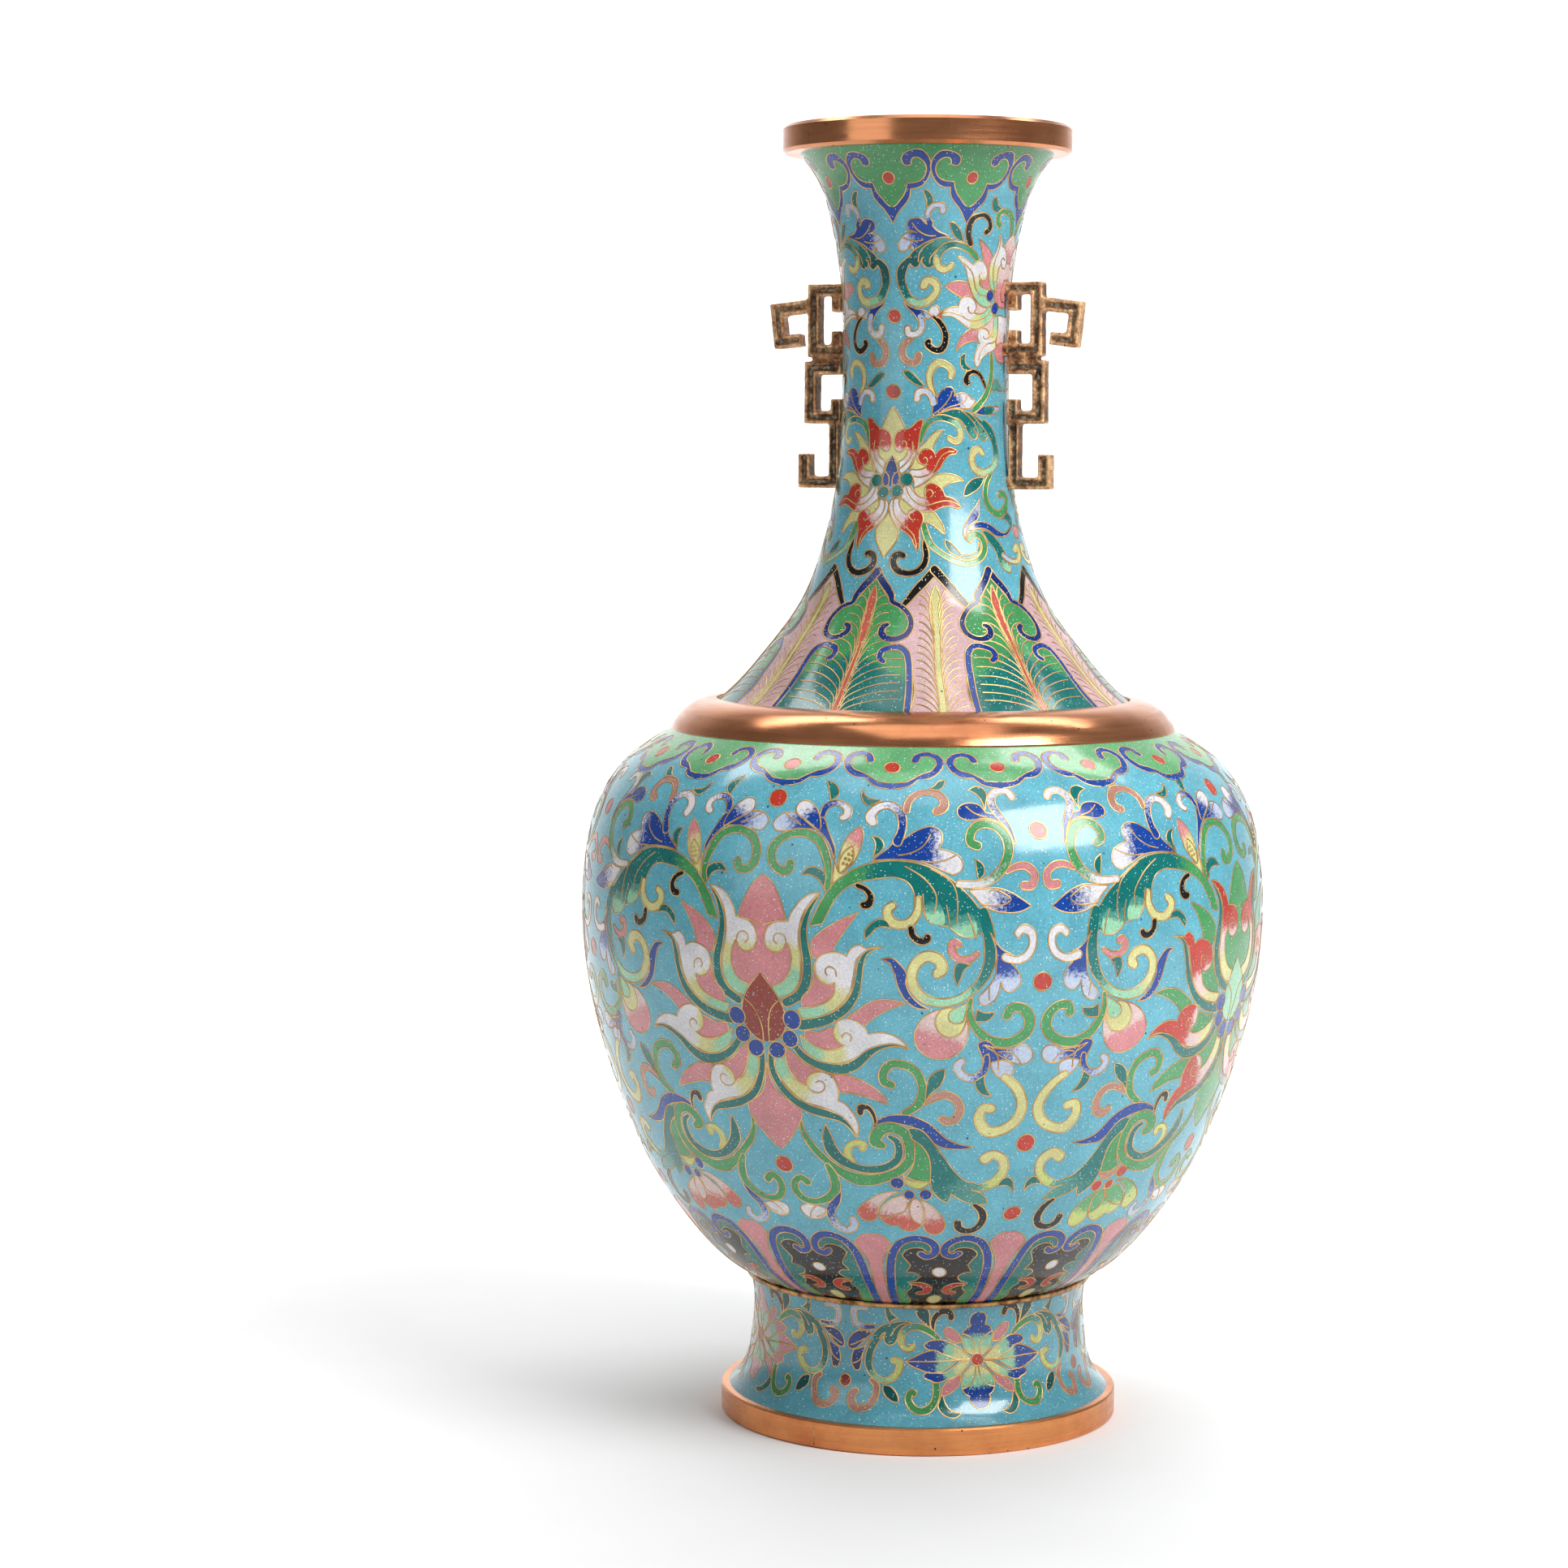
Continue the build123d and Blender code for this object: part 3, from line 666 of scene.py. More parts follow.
    p.leaf("teal teal sea", "24,71* 25.2,70.9 28.6,74 29.5,75.5 31,77.8 32.5,80 34.5,81.7 36.3,82.2 "
           "36.6,83.6* 35.3,83.4* 37.6,84.3 38.8,85.6 39.2,86.6* 36.5,86.6 34.5,86 33,85.2 31.8,84.3* "
           "31.7,85.5 31.2,86.4* 29.4,85.2 28.2,83.5 27.9,81.5 27.9,78.5 27.6,76.5 26.5,74.7 25,73.5",
           "25,72 29,79 31,83 36,86", "calyx")
    p.leaf("teal", "40.5,83* 41.3,81.6 42.4,81.1 43.5,82 43.9,84.4* 43,83.2 42,82.8")
    p.curl("sea lime yellow yellow", "36.2,83,1.2 37.5,83,1.6 40,81.8,1.6 41.5,79.6,1.6 41.1,77.4,1.7 "
           "39.4,76.5,1.7 37.9,77.4,1.9", "calyx")
    p.leaf("green", "25,73.3* 26.5,74.6 27.6,76.6 27.9,79 27.8,81.7* 26.5,81.9 25,81.7 23.5,80.9* 24.6,79 "
           "25.1,76.5")
    p.leaf("cup", "23.1,80.3* 23.6,81.6 25.2,82 27.9,81.8* 27.3,82.7 26.2,83.5 25,83.4 23.7,82.6 23.1,81.2")
    p.leaf("flower1 flower2", "22.6,84.2* 20.5,84.2 18,84.9 15.8,86.2 14,87.8 13.3,89 13.9,90.3 15.3,91 "
           "16.8,90.6 17.4,89.6* 17.6,88 18.6,86.4 20.5,85", "19,86 15,89.5")
    p.leaf("flower1 flower2", "22.8,84.8* 20.3,85.8 18.6,87.2 17.8,88.7 17.7,89.8* 18.8,91.2 20.2,91.8 "
           "21.5,91.6* 22.6,92.7 24.3,93 25.8,92.1 26.4,91.1* 25,90.3 24,88.8 23.7,87.2 24,86",
           "22,87.5 22,91")
    p.vein("23.6,86.3 23,88 21.5,88.9 19.5,89.7 17.9,89.9")
    p.leaf("flower1", "24.6,85.7* 23.9,87.2 23.9,89 24.6,90.2 26.3,91.2* 26.8,89 26.5,87 25.3,85.6")
    p.leaf("flower1 flower2", "25.8,85.8* 28,86.9 29.6,88.4 31,90.2 31.3,91.6 30.6,93.2 29,93.8 27.4,93 "
           "26.6,91.3* 26.9,89 26.6,87", "28,88 29,92.5")
    p.dot("berry", 21.9, 82.4, 1.2)
    p.dot("berry", 24, 84.8, 0.95)
    p.dot("berry", 27.1, 84.7, 1.1)
    p.curl("green", "9,79,1 9.9,81.3,1.7 9.8,84,1.7 8.2,86.1,1.6 5.4,87.3,1.3 2.9,86.9,1.4 1.5,85,1.4 "
           "1.8,83,1.4 3.1,82.1,1.4 4.2,83,1.6")
    p.curl("blue lavender", "10.6,84.9,.3 9.4,87,1.4 8,89,1.6 7.9,91.1,1.5 9.2,92.9,1.5 11.2,93.2,1.4 "
           "12.5,92,1.4 12.2,90.9,1.3")
    p.leaf("white", "1.5,88.8 2.8,88.1 5.2,88.3 7.1,88.9* 6.8,90 5.6,91 4,91.5 2.6,91.2 1.6,90.2")
    p.vein("5,88.4 4,89.2 3.2,90.4 3,91", "7,89 6.2,90.1 4.5,90.8")
    p.curl("black", "36.8,86.9,.9 38.6,88.6,1.4 39.1,90.7,1.5 38,92.6,1.4 36,93.1,1.4 34.2,92.2,1.5 "
           "33.9,91,1.5")


def body_lotus(p):
    """The right half of a lotus, four petals down each side of its bud."""
    p.leaf("spike", "0,34* 4.5,36 5.5,39 4.5,44 2,46 0,46.5*")
    p.leaf("spike", "0,26.2* 1.6,27.6 3,30.2 4.3,33.8* 2.2,34.2 0,35.2*")
    p.leaf("roll1 roll1 roll2 roll3", "9.8,28.9* 8,29.2 6.2,30.5 5,32.4 4.6,33.9* 3.6,34 2.2,34.4 1,35.8 "
           ".7,37.3 1.3,38.8 2.6,39.5 3.9,39 4.6,37.6* 5.4,39.5 5.3,41.5 4.7,43.5 3.5,45 2.1,45.7* "
           "2.9,47.7 5,47 6.2,45.5 6.9,43 7,40 6.6,37 6.6,34.5 7,32.3 8,30.6", "6,32 6,37 6,40 5,44")
    p.vein("4.5,37.5 4.2,36.6 3.2,36.2 2.4,36.7 2.4,37.6 3,38")
    p.curl("teal", "9.3,29.6,.3 7.9,31.8,.8 7.3,34.5,1.1 7.7,38,1.4 8.1,41,1.6 7.8,44,1.7 6.6,46.8,1.7 "
           "4.3,48.5,1.6")
    p.leaf("bud", "0,43.3* 1.8,45.8 3.2,48.2 3.9,50.2 3.8,52.3 2.8,54.2 1.2,55.4 0,55.6*")
    p.vein("3,48.3 1.5,49.9 .7,52.2 .55,55.5")
    p.leaf("spike", "9.3,41* 12.6,45 11,47.6 7,49.2 6.8,48 8.6,45")
    p.leaf("spike", "16,32* 13.2,33.2 10.6,34.9 8.8,37* 9.3,40.3 12.3,39.2* 13.2,36.6 14.6,34")
    p.leaf("roll1 roll1 roll2 roll3", "20.3,38* 18.6,38 17.6,38.2 16.4,37.6 15.3,38.2 14.6,39.8* 13.6,39.2 "
           "12,39.2 10.4,39.9 9.4,41.5 9.4,43 10.1,44.3 11.3,44.8 12.4,44.4* 11.8,46.8 10,48.3 8,49 "
           "6.1,49.3* 6.9,51 9,50.8 11.2,49.8 13.3,48 14.6,46 15.3,44 15.8,42 16.2,40.2 17.2,39",
           "16,39.5 14,43 13,46 9,50")
    p.vein("12.7,43.5 12.6,42.3 11.8,41.8 11.1,42.2 11,42.8 11.3,43.3")
    p.curl("teal", "19.2,38.1,.2 17.6,39,.6 16.8,41,1 16.3,43.5,1.1 15.5,46,1.3 13.8,48.7,1.5 "
           "11.3,50.8,1.7 8.6,51.8,1.8 6.6,52.2,1.8")
    p.leaf("spike", "7,53.4 9.5,53.2 12,52.4 12,54 13.8,55.5 12,56.2 9.5,56 7,54.4")
    p.leaf("spike", "15.9,48.7* 17.5,47.6 19.5,47 21.5,47.1 23.4,47.7* 21,48.5 19,49.6 17.6,50.8 "
           "16.9,51.8* 16,51 14.2,50.5")
    p.leaf("roll1 roll1 roll2 roll3", "24.2,55.7* 22.8,54 21,53 19.2,52.8 17.6,53.2* 17,51.9 15.8,50.9 "
           "14.3,50.5 12.6,51.2 12,52.4 12,53.8 12.6,54.9 13.9,55.5* 11.8,56.3 9.8,56.2 8,55.3 6.2,53.8* "
           "7,56.8 8.5,58.1 10.5,58.9 12.5,58.9 15,58.1 17,56.9 18.7,55.8 20.5,55.1",
           "19,54 16,56.5 13,57.5 8,57")
    p.vein("14.8,54.8 14.9,53.8 14.2,53.2 13.5,53.6 13.4,54.1")
    p.curl("teal", "5,55.8,1.1 6.6,57.8,1.4 8.9,59.2,1.5 11.4,59.9,1.9 13.8,59.8,1.9 15.8,58.7,1.7 "
           "17.6,57.1,1.4 19.4,55.9,.9 21.8,55.2,.5 24.2,55.8,.2")
    p.leaf("spike", "3.6,56.2* 3.5,58.5 4.1,60.6 5.4,62.5 7.1,63.9* 7.6,61.6 9.9,60.6* 7,59.4 5.2,57.8")
    p.leaf("spike", "11.3,61.1* 13,61 14.5,61.2 16.5,62.1 18.5,63.5 20,65.2 20.4,66.4* 18.5,65.7 16.5,65.1 "
           "14.5,64.7 12.5,64.7* 12.2,63")
    p.leaf("spike", "0,58* .2,61 .7,63.2 1.8,65.5 3.5,67 5,68* 5,69.2 4.3,71.2 3.2,73 1.8,74.8 0,76.4*")
    p.leaf("roll3 roll2 roll1 roll1", "1.7,58.4* 1.5,60.4 2.2,62.2 3.3,64 4.6,65.6 6.2,66.9 8,67.3 10,67.9 "
           "12,68.9 13.3,70.2 14.6,72.9* 15.1,71.5 15,69.8 14.3,68.2 13.1,66.7 12.1,66.3* 12.4,64.8 "
           "12.2,63.2 11.4,61.6 10,60.8 8.5,60.9 7.3,62 7,63.2 7.1,63.9* 5.2,62.6 4,60.5 3.4,58.5 3.4,57.2",
           "3,60 6,65 9,66 13,68")
    p.vein("7.1,63.9 7.8,64.7 9,64.9 9.9,64.3 10.1,63.4 9.6,62.7 9,62.7 8.6,63")
    p.curl("teal", ".85,58,1.2 .9,60.4,1.2 1.5,62.4,1.3 2.6,64.6,1.4 4.4,66.7,1.5 7,68.1,1.6 9.8,68.8,1.5 "
           "12.2,69.6,1 13.6,71,.6 14.6,72.8,.2")
    p.dot("bead", 5, 51.4, 1.65)
    p.dot("bead", 4.3, 54.7, 1.55)
    p.dot("bead", 1.9, 57, 1.6)
    p.dot("red", 0, 79.5, 1.7)


def cloud(p):
    """Half of a cloud head under the shoulder ring. Angles 0 to 10."""
    p.leaf("fern", "0,-3* 10,-3* 10,2.2* 9.6,3 9,5 7,6.8 5,7* 3.3,8.5 0,9.4*")
    p.leaf("blue", "9.8,3* 9,5.3 6.8,7 4.9,7.2* 3.3,8.8 0,9.7* 0,8.3* 2.6,8* 5.5,5.9 7.4,5 8.4,3.2*", None,
           "band")
    p.curl("blue", "9.1,3,1.3 8.4,1.2,1.3 6.6,.4,1.3 4.9,1,1.3 4.4,2.3,1.4", "band")
    p.dot("red", 0, 4.2, 1.4)


def lappet(p):
    """Half of a lappet round the body's foot. Angles 0 to 15."""
    p.leaf("pink", "15,93.8* 13,94.2 11,96 12,98.5 13,100.5 13.5,104 13.5,108 13.2,118 15,118*")
    p.leaf("teal teal green", "0,101* 1.5,96 5,94.5 9,95.5 11.4,99 12.3,108 12.3,118* 0,118*", "8,96 8,115")
    p.leaf("black", "0,98.2* 2.9,98.6* 3.5,97.8 5.1,97.4 7.1,97.8 8.4,99.3 7.6,100.8 6.9,102.2 7.8,103.7 "
           "8.1,104.2* 6.1,104.3 4.9,105.3 5.6,106.4 7.9,107.2* 6.8,109 7.8,110 8.1,111.2 7.4,113.5 "
           "7.1,118 0,118*")
    p.curl("red", "6.6,107.7,.6 4.4,107.9,1.3 2.6,109.1,1.5 2.9,110.5,1.4 4.6,110.9,1.2")
    p.dot("white", 0, 104, 1.25)
    p.dot("yellow", 0, 114, 1.3, 1.6)
    p.curl("blue", "12.1,118,1.5 12.1,108,1.6 11.5,102,1.6 10.4,98.4,1.6 8.6,96,1.6 5.8,94.9,1.6 "
           "2.9,95.4,1.6 1.1,97.2,1.5 1.4,99.3,1.4 3,99.8,1.4 4.2,99,1.3")


LOTUS_AXIS = -29.2  # degrees from the camera's side to the first lotus on the body
CLOUD_AXIS = -9.1
LAPPET_AXIS = 1.6
LOTUS_A = dict(spike="pink", roll1="white", roll2="yellow", roll3="pale", bud="maroon", bead="blue",
               cup="lime", berry="blue", flower1="blush", flower2="rust")
LOTUS_B = dict(spike="green", roll1="red", roll2="blush", roll3="yellow", bud="pale", bead="blue",
               cup="brick", berry="red", flower1="fern", flower2="lime")


def draw_body():
    sheet = Sheet(Wall(BODY, 1))
    for axis in range(4):
        for side in (1, -1):
            pen = Pen(sheet, LOTUS_AXIS + 90 * axis, side, 45, (LOTUS_A, LOTUS_B)[axis % 2])
            body_ground(pen)
            body_lotus(pen)
    for head in range(18):
        for side in (1, -1):
            cloud(Pen(sheet, CLOUD_AXIS + 20 * head, side, 10))
    for panel in range(12):
        for side in (1, -1):
            lappet(Pen(sheet, LAPPET_AXIS + 30 * panel, side, 15))
    return sheet.finished()


# ---- neck pattern ----
def ruyi(p):
    """Half of a ruyi head under the mouth rim. Angles 0 to 22.5."""
    p.leaf("green", "0,-2* 22.5,-2* 22.5,5* 20.5,7 17.5,8.2 14.5,8.7 11.2,8.9* 10.4,10.2 8,11.4 5.5,12.3 "
           "2,13.9 0,15*")
    p.leaf("blue", "0,15.1* 1.2,14.5 3,13.5 5.5,12.4 8.3,11.5 10.6,10.4 11.4,8.9* 14.5,8.8 17.5,8.3 "
           "20.3,7.2 22.1,5.8 22.7,4.4 21.9,3.2 20.2,2 18.3,1.3 15.8,1.1 12.5,1.4 10,2 8.5,2.8 8.3,3.6 "
           "9.2,4.3 11,4.4 12.7,4.1 13.1,3.3 14,2.8 15.7,2.7 17.7,3.1 19.6,4 20.2,4.9 19.6,6 18.2,6.8 "
           "16,7.4 13.5,7.7 9.6,7.8* 9.1,8.6 7.6,9.8 5,10.8 2.5,11.7 0,12.2*")
    p.dot("red", 0, 6.8, 1.1)


def neck_ground(p):
    """Sprays and curls on the neck. Angles 0 to 90, from the main lotus to the side lotus."""
    p.leaf("teal", "19.6,9.1* 21.5,9 23.5,9.5 25.3,10.5 25.9,11.5* 24,12 22,12.5* 21.8,11.5 21.3,10.5 "
           "20.3,9.8")
    p.leaf("teal", "36.2,14.9* 38.5,14.9 41.5,15.6 43.8,16.6 44.8,17.6 46.5,18.5* 43.5,18.1* 40.5,17.6 "
           "38.3,16.8 36.8,15.8")
    p.leaf("blue blue lavender", "24.2,14.2* 24.8,15.2 26.8,16.2 30,16.9 33.5,17.2 36.6,17.7* 33,17.8 "
           "28,18.2 22,18.8 17.5,19.7 13.5,20.2* 11.5,19.4 10.5,20.1 8,20.4 5.5,20.2 4.3,19.6 4.5,18.8 "
           "6.5,17.9 9,17.2 12,16.9 15,16.8* 13,16.6 11.3,16.4 10.5,15.8 10.7,15 12,14.4 14.5,14.2 18,14.3 "
           "20.5,14.9 22.2,15.6* 22.6,14.6", "26,17 17,17 7,18", "spray")
    p.vein("13.5,15 16,16.2 20,17.1 24,17.5 28,17.5", "7.8,17.9 10.5,18.3 14,18.5 17.5,18.4 20.5,18.1",
           "15,16.8 16.5,16.9", "12.3,18.8 12.8,19.5 11.8,20")
    p.curl("blue lavender lavender", "24.3,15.4,1 22.7,14.4,.9 23,13.3,.9 25.5,12.3,1 28.8,11.9,1 "
           "31.3,12.1,1.1 31.5,12.9,1.2", "spray")
    p.leaf("dteal teal sea", "9.5,22* 13.5,20.4 17.5,19.5 22,18.6 28,18 33,17.7 39,17.9* 36,19 32,19.8 "
           "29,20.7 28,21.5 27.2,22.3* 26,22.7 24,23.1 21.5,23.1 19.3,22.5 19,21.8 20.3,21.3* 18.5,22 "
           "17.5,22.7 15.5,23.2 13,23 11.3,22.5 10.6,22*", "12,22 22,20 33,18.5", "spine")
    p.vein("16.8,22.3 17.3,21 19.5,19.8 23,18.9 27,18.3",
           "24,22.3 24.5,21.3 26.5,20.5 30,19.5 35,18.6 38,18.3", "11,22.4 11.2,21.7 12.6,21.4",
           "19,22.1 19.2,21.5 20.8,21.3", "26.8,22.3 26.9,21.4 28,21.1")
    p.curl("dteal dteal teal pale yellow yellow yellow", "10,22,1.1 6.6,23.4,1.7 5.4,25.2,1.6 6.9,27,1.6 "
           "10.5,28.6,1.5 15.5,29.3,1.4 21,29.3,1.4 26,28.6,1.4 28.9,27.3,1.3 28.3,26,1.4 25,25.4,1.4 "
           "21.8,25.6,1.4 20.6,26.2,1.5", "spine")
    p.curl("green green sea teal sea yellow yellow", "57.2,21.9,.8 54,20.8,1 50,19.8,1.1 45,19.1,1.2 "
           "40,18.8,1.2 35,19.2,1.2 31,20.1,1.2 29,21.2,1.2 29.4,22.4,1.2 31.5,23.1,1.1 35,23.3,1.1 "
           "38.2,22.8,1.1")
    p.curl("black", "50.6,18.8,1 48.6,17.3,1.2 48.6,15.6,1.2 50.5,14.2,1.1 54,13.5,.9 57.5,13.3,.9 "
           "61,13.9,.9 63.4,15,1 63.2,16.1,1.1 61.3,16.5,1.2")
    p.leaf("teal", "64,9.9* 65.5,10.2 67,11.1 69,11.8 72,12.1* 69.3,13* 66.5,12.9 64.2,12.5 62.8,11.7 "
           "62.7,10.8")
    p.curl("green", "72,15.4,1.2 69.4,14.7,1.1 69.6,13.5,1.1 72.5,12.7,1 77,12.7,1 81.5,13.3,1.1 "
           "85,14.6,1.2 87,16.2,1")
    p.dot("red", 0, 31.7, 1.2)
    p.dot("maroon red", 0, 45.6, 1.35)
    p.leaf("navy blue lavender", "6.5,29* 10,29.9 15,30.4 20,30.6 23.5,31.2 26.8,32.1* 23,32.2 20.5,32 "
           "19.5,31.5 18.3,31.4 17.6,32.2* 16.6,32.8* 14,31.6 11,30.8 8,30", "9,30 17,31.5 25,32", "stalk")
    p.curl("lavender white", "18.3,31.9,1 19.7,33,1.1 19.3,34.2,1.2 17,35,1.2 13.5,35.2,1.2 10.5,34.9,1.2 "
           "9.6,34,1.2", "stalk")
    p.leaf("white", "24,31 25.5,30.2 28,30 30.5,30.4 31.3,31.2 30.8,32.2 29,32.6 27,32")
    p.leaf("rust", "29,32.3* 31,31.6 34,30.9 35,30.8* 34,31.8 32,32.5")
    p.curl("black", "27.5,32.1,.6 31,32.9,.9 34,34,1 35.8,35.3,1.1 35.2,36.8,1.2 32.5,37.8,1.2 "
           "28.8,38.1,1.2 25.2,37.7,1.2 23.3,36.9,1.2 24.3,36.6,1")
    p.curl("brick", "11.5,36.1,.9 8,36.7,1.1 6.3,38,1.2 7,39.3,1.2 10,40.2,1.2 13.5,40.4,1.2 16.8,39.8,1.2 "
           "17.3,39,1.2")
    p.leaf("teal", "6.6,42* 8.5,41.8 11.5,42 15,42.7 18.5,43.6 21.5,44.3* 19,44.5 15,44.3 11,43.6 8,42.8")
    p.curl("yellow", "29,46,.3 27,45,.8 25,43.8,1 24.8,42.5,1.1 26.5,41.2,1.2 30,40.4,1.2 34.5,40.3,1.2 "
           "38.5,40.9,1.2 40.3,41.8,1.2 39.3,42.5,1.1")
    p.leaf("blue blue white", "26.5,49.5* 27.2,48 27.5,47 27,46.4* 28.5,46 30.3,46.3* 32,45.4 35.5,44.7 "
           "39.5,44.7 42,45.3 42,46.1 41.5,46.5* 44.5,45.9 48.5,45.7 52.5,46 55,46.6 58.5,46.9* 58,47.4 "
           "56,47.9 54.3,48.3 48,48.6 40,48.7 33,49.1 28,49.8", "30,48.5 43,47.5 52,46.5", "cup")
    p.curl("lavender white", "27.6,47.4,1 26.3,46.2,1.1 24,45.4,1.1 20.5,45.3,1.2 17.2,45.8,1.2 "
           "16.4,46.7,1.2", "cup")
    p.vein("29.8,46.2 30,47.6", "40.3,45.4 39.5,46.2 36.5,47.4 32,48.6 27,49.6",
           "52,46.3 49.5,47.3 45,48 38,48.4 33,48.9")
    p.leaf("teal teal sea", "31,49.3* 42,48.8 50,49.1 57,49.5 63,50.3 69,51.3 74,53 74,55* 72.5,54.2 "
           "70,53.3 68.8,52.9* 68.3,53.8 65.5,54.1 62,53.7 59.8,53* 58.5,53.9 56,54 53,53.3 50.5,52.2 "
           "49.3,51.5* 45.5,50.6 40,50.2 35,49.9", "45,49 55,50 60,53.5", "wing")
    p.vein("47,49.1 52,49.8 57,50.9 60,52 60.5,53", "54,49.3 58,50 62,51 66,52 68.8,52.9",
           "49.5,51.6 51,51.9", "56.3,51.9 57.8,52.4 59.8,53")
    p.curl("teal teal pale yellow yellow", "66,50.9,1.1 71,52.2,1.4 75,53.9,1.4 77.3,55.8,1.4 "
           "77.2,57.6,1.5 74,59,1.3 69,59.9,1.2 63,60.3,1.2 58,59.6,1.2 54.8,58.2,1.2 54.9,56.9,1.2 "
           "57.5,56,1.2 61,55.9,1.2 63.6,56.6,1", "wing")
    p.curl("green green sea teal pale yellow yellow", "18.8,54.3,.9 20,52.9,1 23.5,51.3,1.1 28,50.5,1.2 "
           "34,50.2,1.2 40,50.7,1.1 45,51.5,1.1 47,52.8,1.1 45.8,54,1.1 42,54.4,1 38.9,54,1")
    p.curl("green", "73.7,38.9,.8 74,40.5,1 73.8,42.3,1.1 72,44,1.1 69,45.6,1.1 65.5,46.9,1.1 61,48,1.2 "
           "57,48.7,1")
    p.curl("black", "67.5,44.5,.5 65,43.3,.8 62,42.4,.8 58.5,42,.9 55,42,1 52,42.5,1.1 51,43.5,1.2 52.5,44,1")
    p.leaf("teal", "48.5,38.6* 49.7,38.5 49.8,39.5 50.5,40.4 53,41.1 56,41.5* 53,41.8 50,41.6 47.3,41 "
           "46.3,39.9 46.8,39")
    p.leaf("sea", "73.5,45.4* 76,43.3 81,43.2 84,43.8 89,45.1* 84,45.2 80,44.9 77,44.9")
    p.leaf("blue teal lavender", "58,49.2* 62,48.6 66,48 71,47.8 76,47.8 81,47.9 84.5,48.3* 81,48.7 "
           "76,49.3 71,49.6 66,49.6 61,49.4", "60,49 70,48.7 83,48.3")
    p.leaf("teal", "34,72.4* 36.5,72.9 39,73.7 41,74.5 42.5,75.5 41,75.7* 38.5,75.3 36,74.7 34.3,73.7 "
           "33.8,72.9")
    p.leaf("lavender blue lavender", "58.8,65* 56,66.3 52,67.5 48.3,68.9 46,70.3 45.2,71.8 46,72.8* "
           "47,71.5 48.5,70.3 51,69.6 55,69* 57,68.2 57.8,66.8", "57.5,66 53,68.5 46,72")
    p.leaf("lavender blue blue", "47.8,70.6* 51,69.7 55,69.3 60,69.3 65,69.8 69,70.5 73,71 77,71 81,70.5 "
           "84.8,70.3* 81.5,71 77,71.6 72,71.9 67,71.8* 64.5,71.2 60,70.5 55,70.4 50.5,70.7",
           "48,70.6 56,70 70,71.2")
    p.curl("green", "70,60.9,.8 67,61.8,1 64.5,63.2,1.1 63.8,64.7,1.2 65.3,66.2,1.3 69,67.2,1.3 "
           "74,67.6,1.3 79,67.1,1.3 83,66,1.3 84.5,64.9,1.2 82.5,64,1.2 79,63.9,1.2 77,64.3,1.1")
    p.leaf("teal", "47,64.4* 48,63.3 51,62 55,61.2 60,61 64.5,61.2* 62,62.2 58,63.2 53.5,64 49,64.5")
    p.leaf("teal", "75,68.3* 79,68 82,67.4* 85,68 86.8,69.2 85.2,70.2 83.5,70.4* 83,69.6 80.5,68.9 77.5,68.6")
    p.leaf("teal teal pale", "57.5,70.7* 61,70.9 64.5,71.5 67,72.2 69,73 71,74 72.3,75* 70,75.2 69.5,75.8 "
           "70.5,76.3 72.5,76.8 74,77.4 74.5,78.3 73.5,78.9 70.5,78.6 67.5,77.6 66,76.3 65.5,75 64,73.8 "
           "61,72.7 59,71.6", "62,72 68,75 71,78.5")
    p.curl("lavender yellow yellow", "71,75.6,.9 74,76.4,1 78,76.9,1 82,76.8,1 85.5,76.1,1.3 87.3,75,1.5 "
           "86.5,74.2,1.6 84,74.3,1.6 82.6,74.6,1.2")
    p.dot("pink", 90, 71.3, 1.3)
    p.curl("black", "21.8,72.5,.3 22.5,73.8,.9 23.3,75.4,1.1 22.3,77,1.2 19.5,78.2,1.2 15.5,78.9,1.2 "
           "11,78.7,1.3 7.3,77.8,1.3 5.6,76.6,1.3 6.4,75.5,1.3 9,75.1,1.3 10.6,75.3,1.2")
    p.curl("green pale green green", "21.2,69.3,1 22.3,70.6,1.1 24,72.3,1.2 26.8,73.8,1.1 31,75,1 36,76,1 "
           "41,76.6,1 46.5,76.8,.9 52.5,76.2,1 56.8,74.7,1.1 58,73.1,1.2 56.5,71.9,1.2 53,71.4,1.2 "
           "49.8,71.8,1.1 48.6,72.6,1.1")
    p.curl("sea", "43,75.6,.3 48,75.6,.6 52.3,74.9,.7 54.3,73.6,.5 54,72.9,.2")


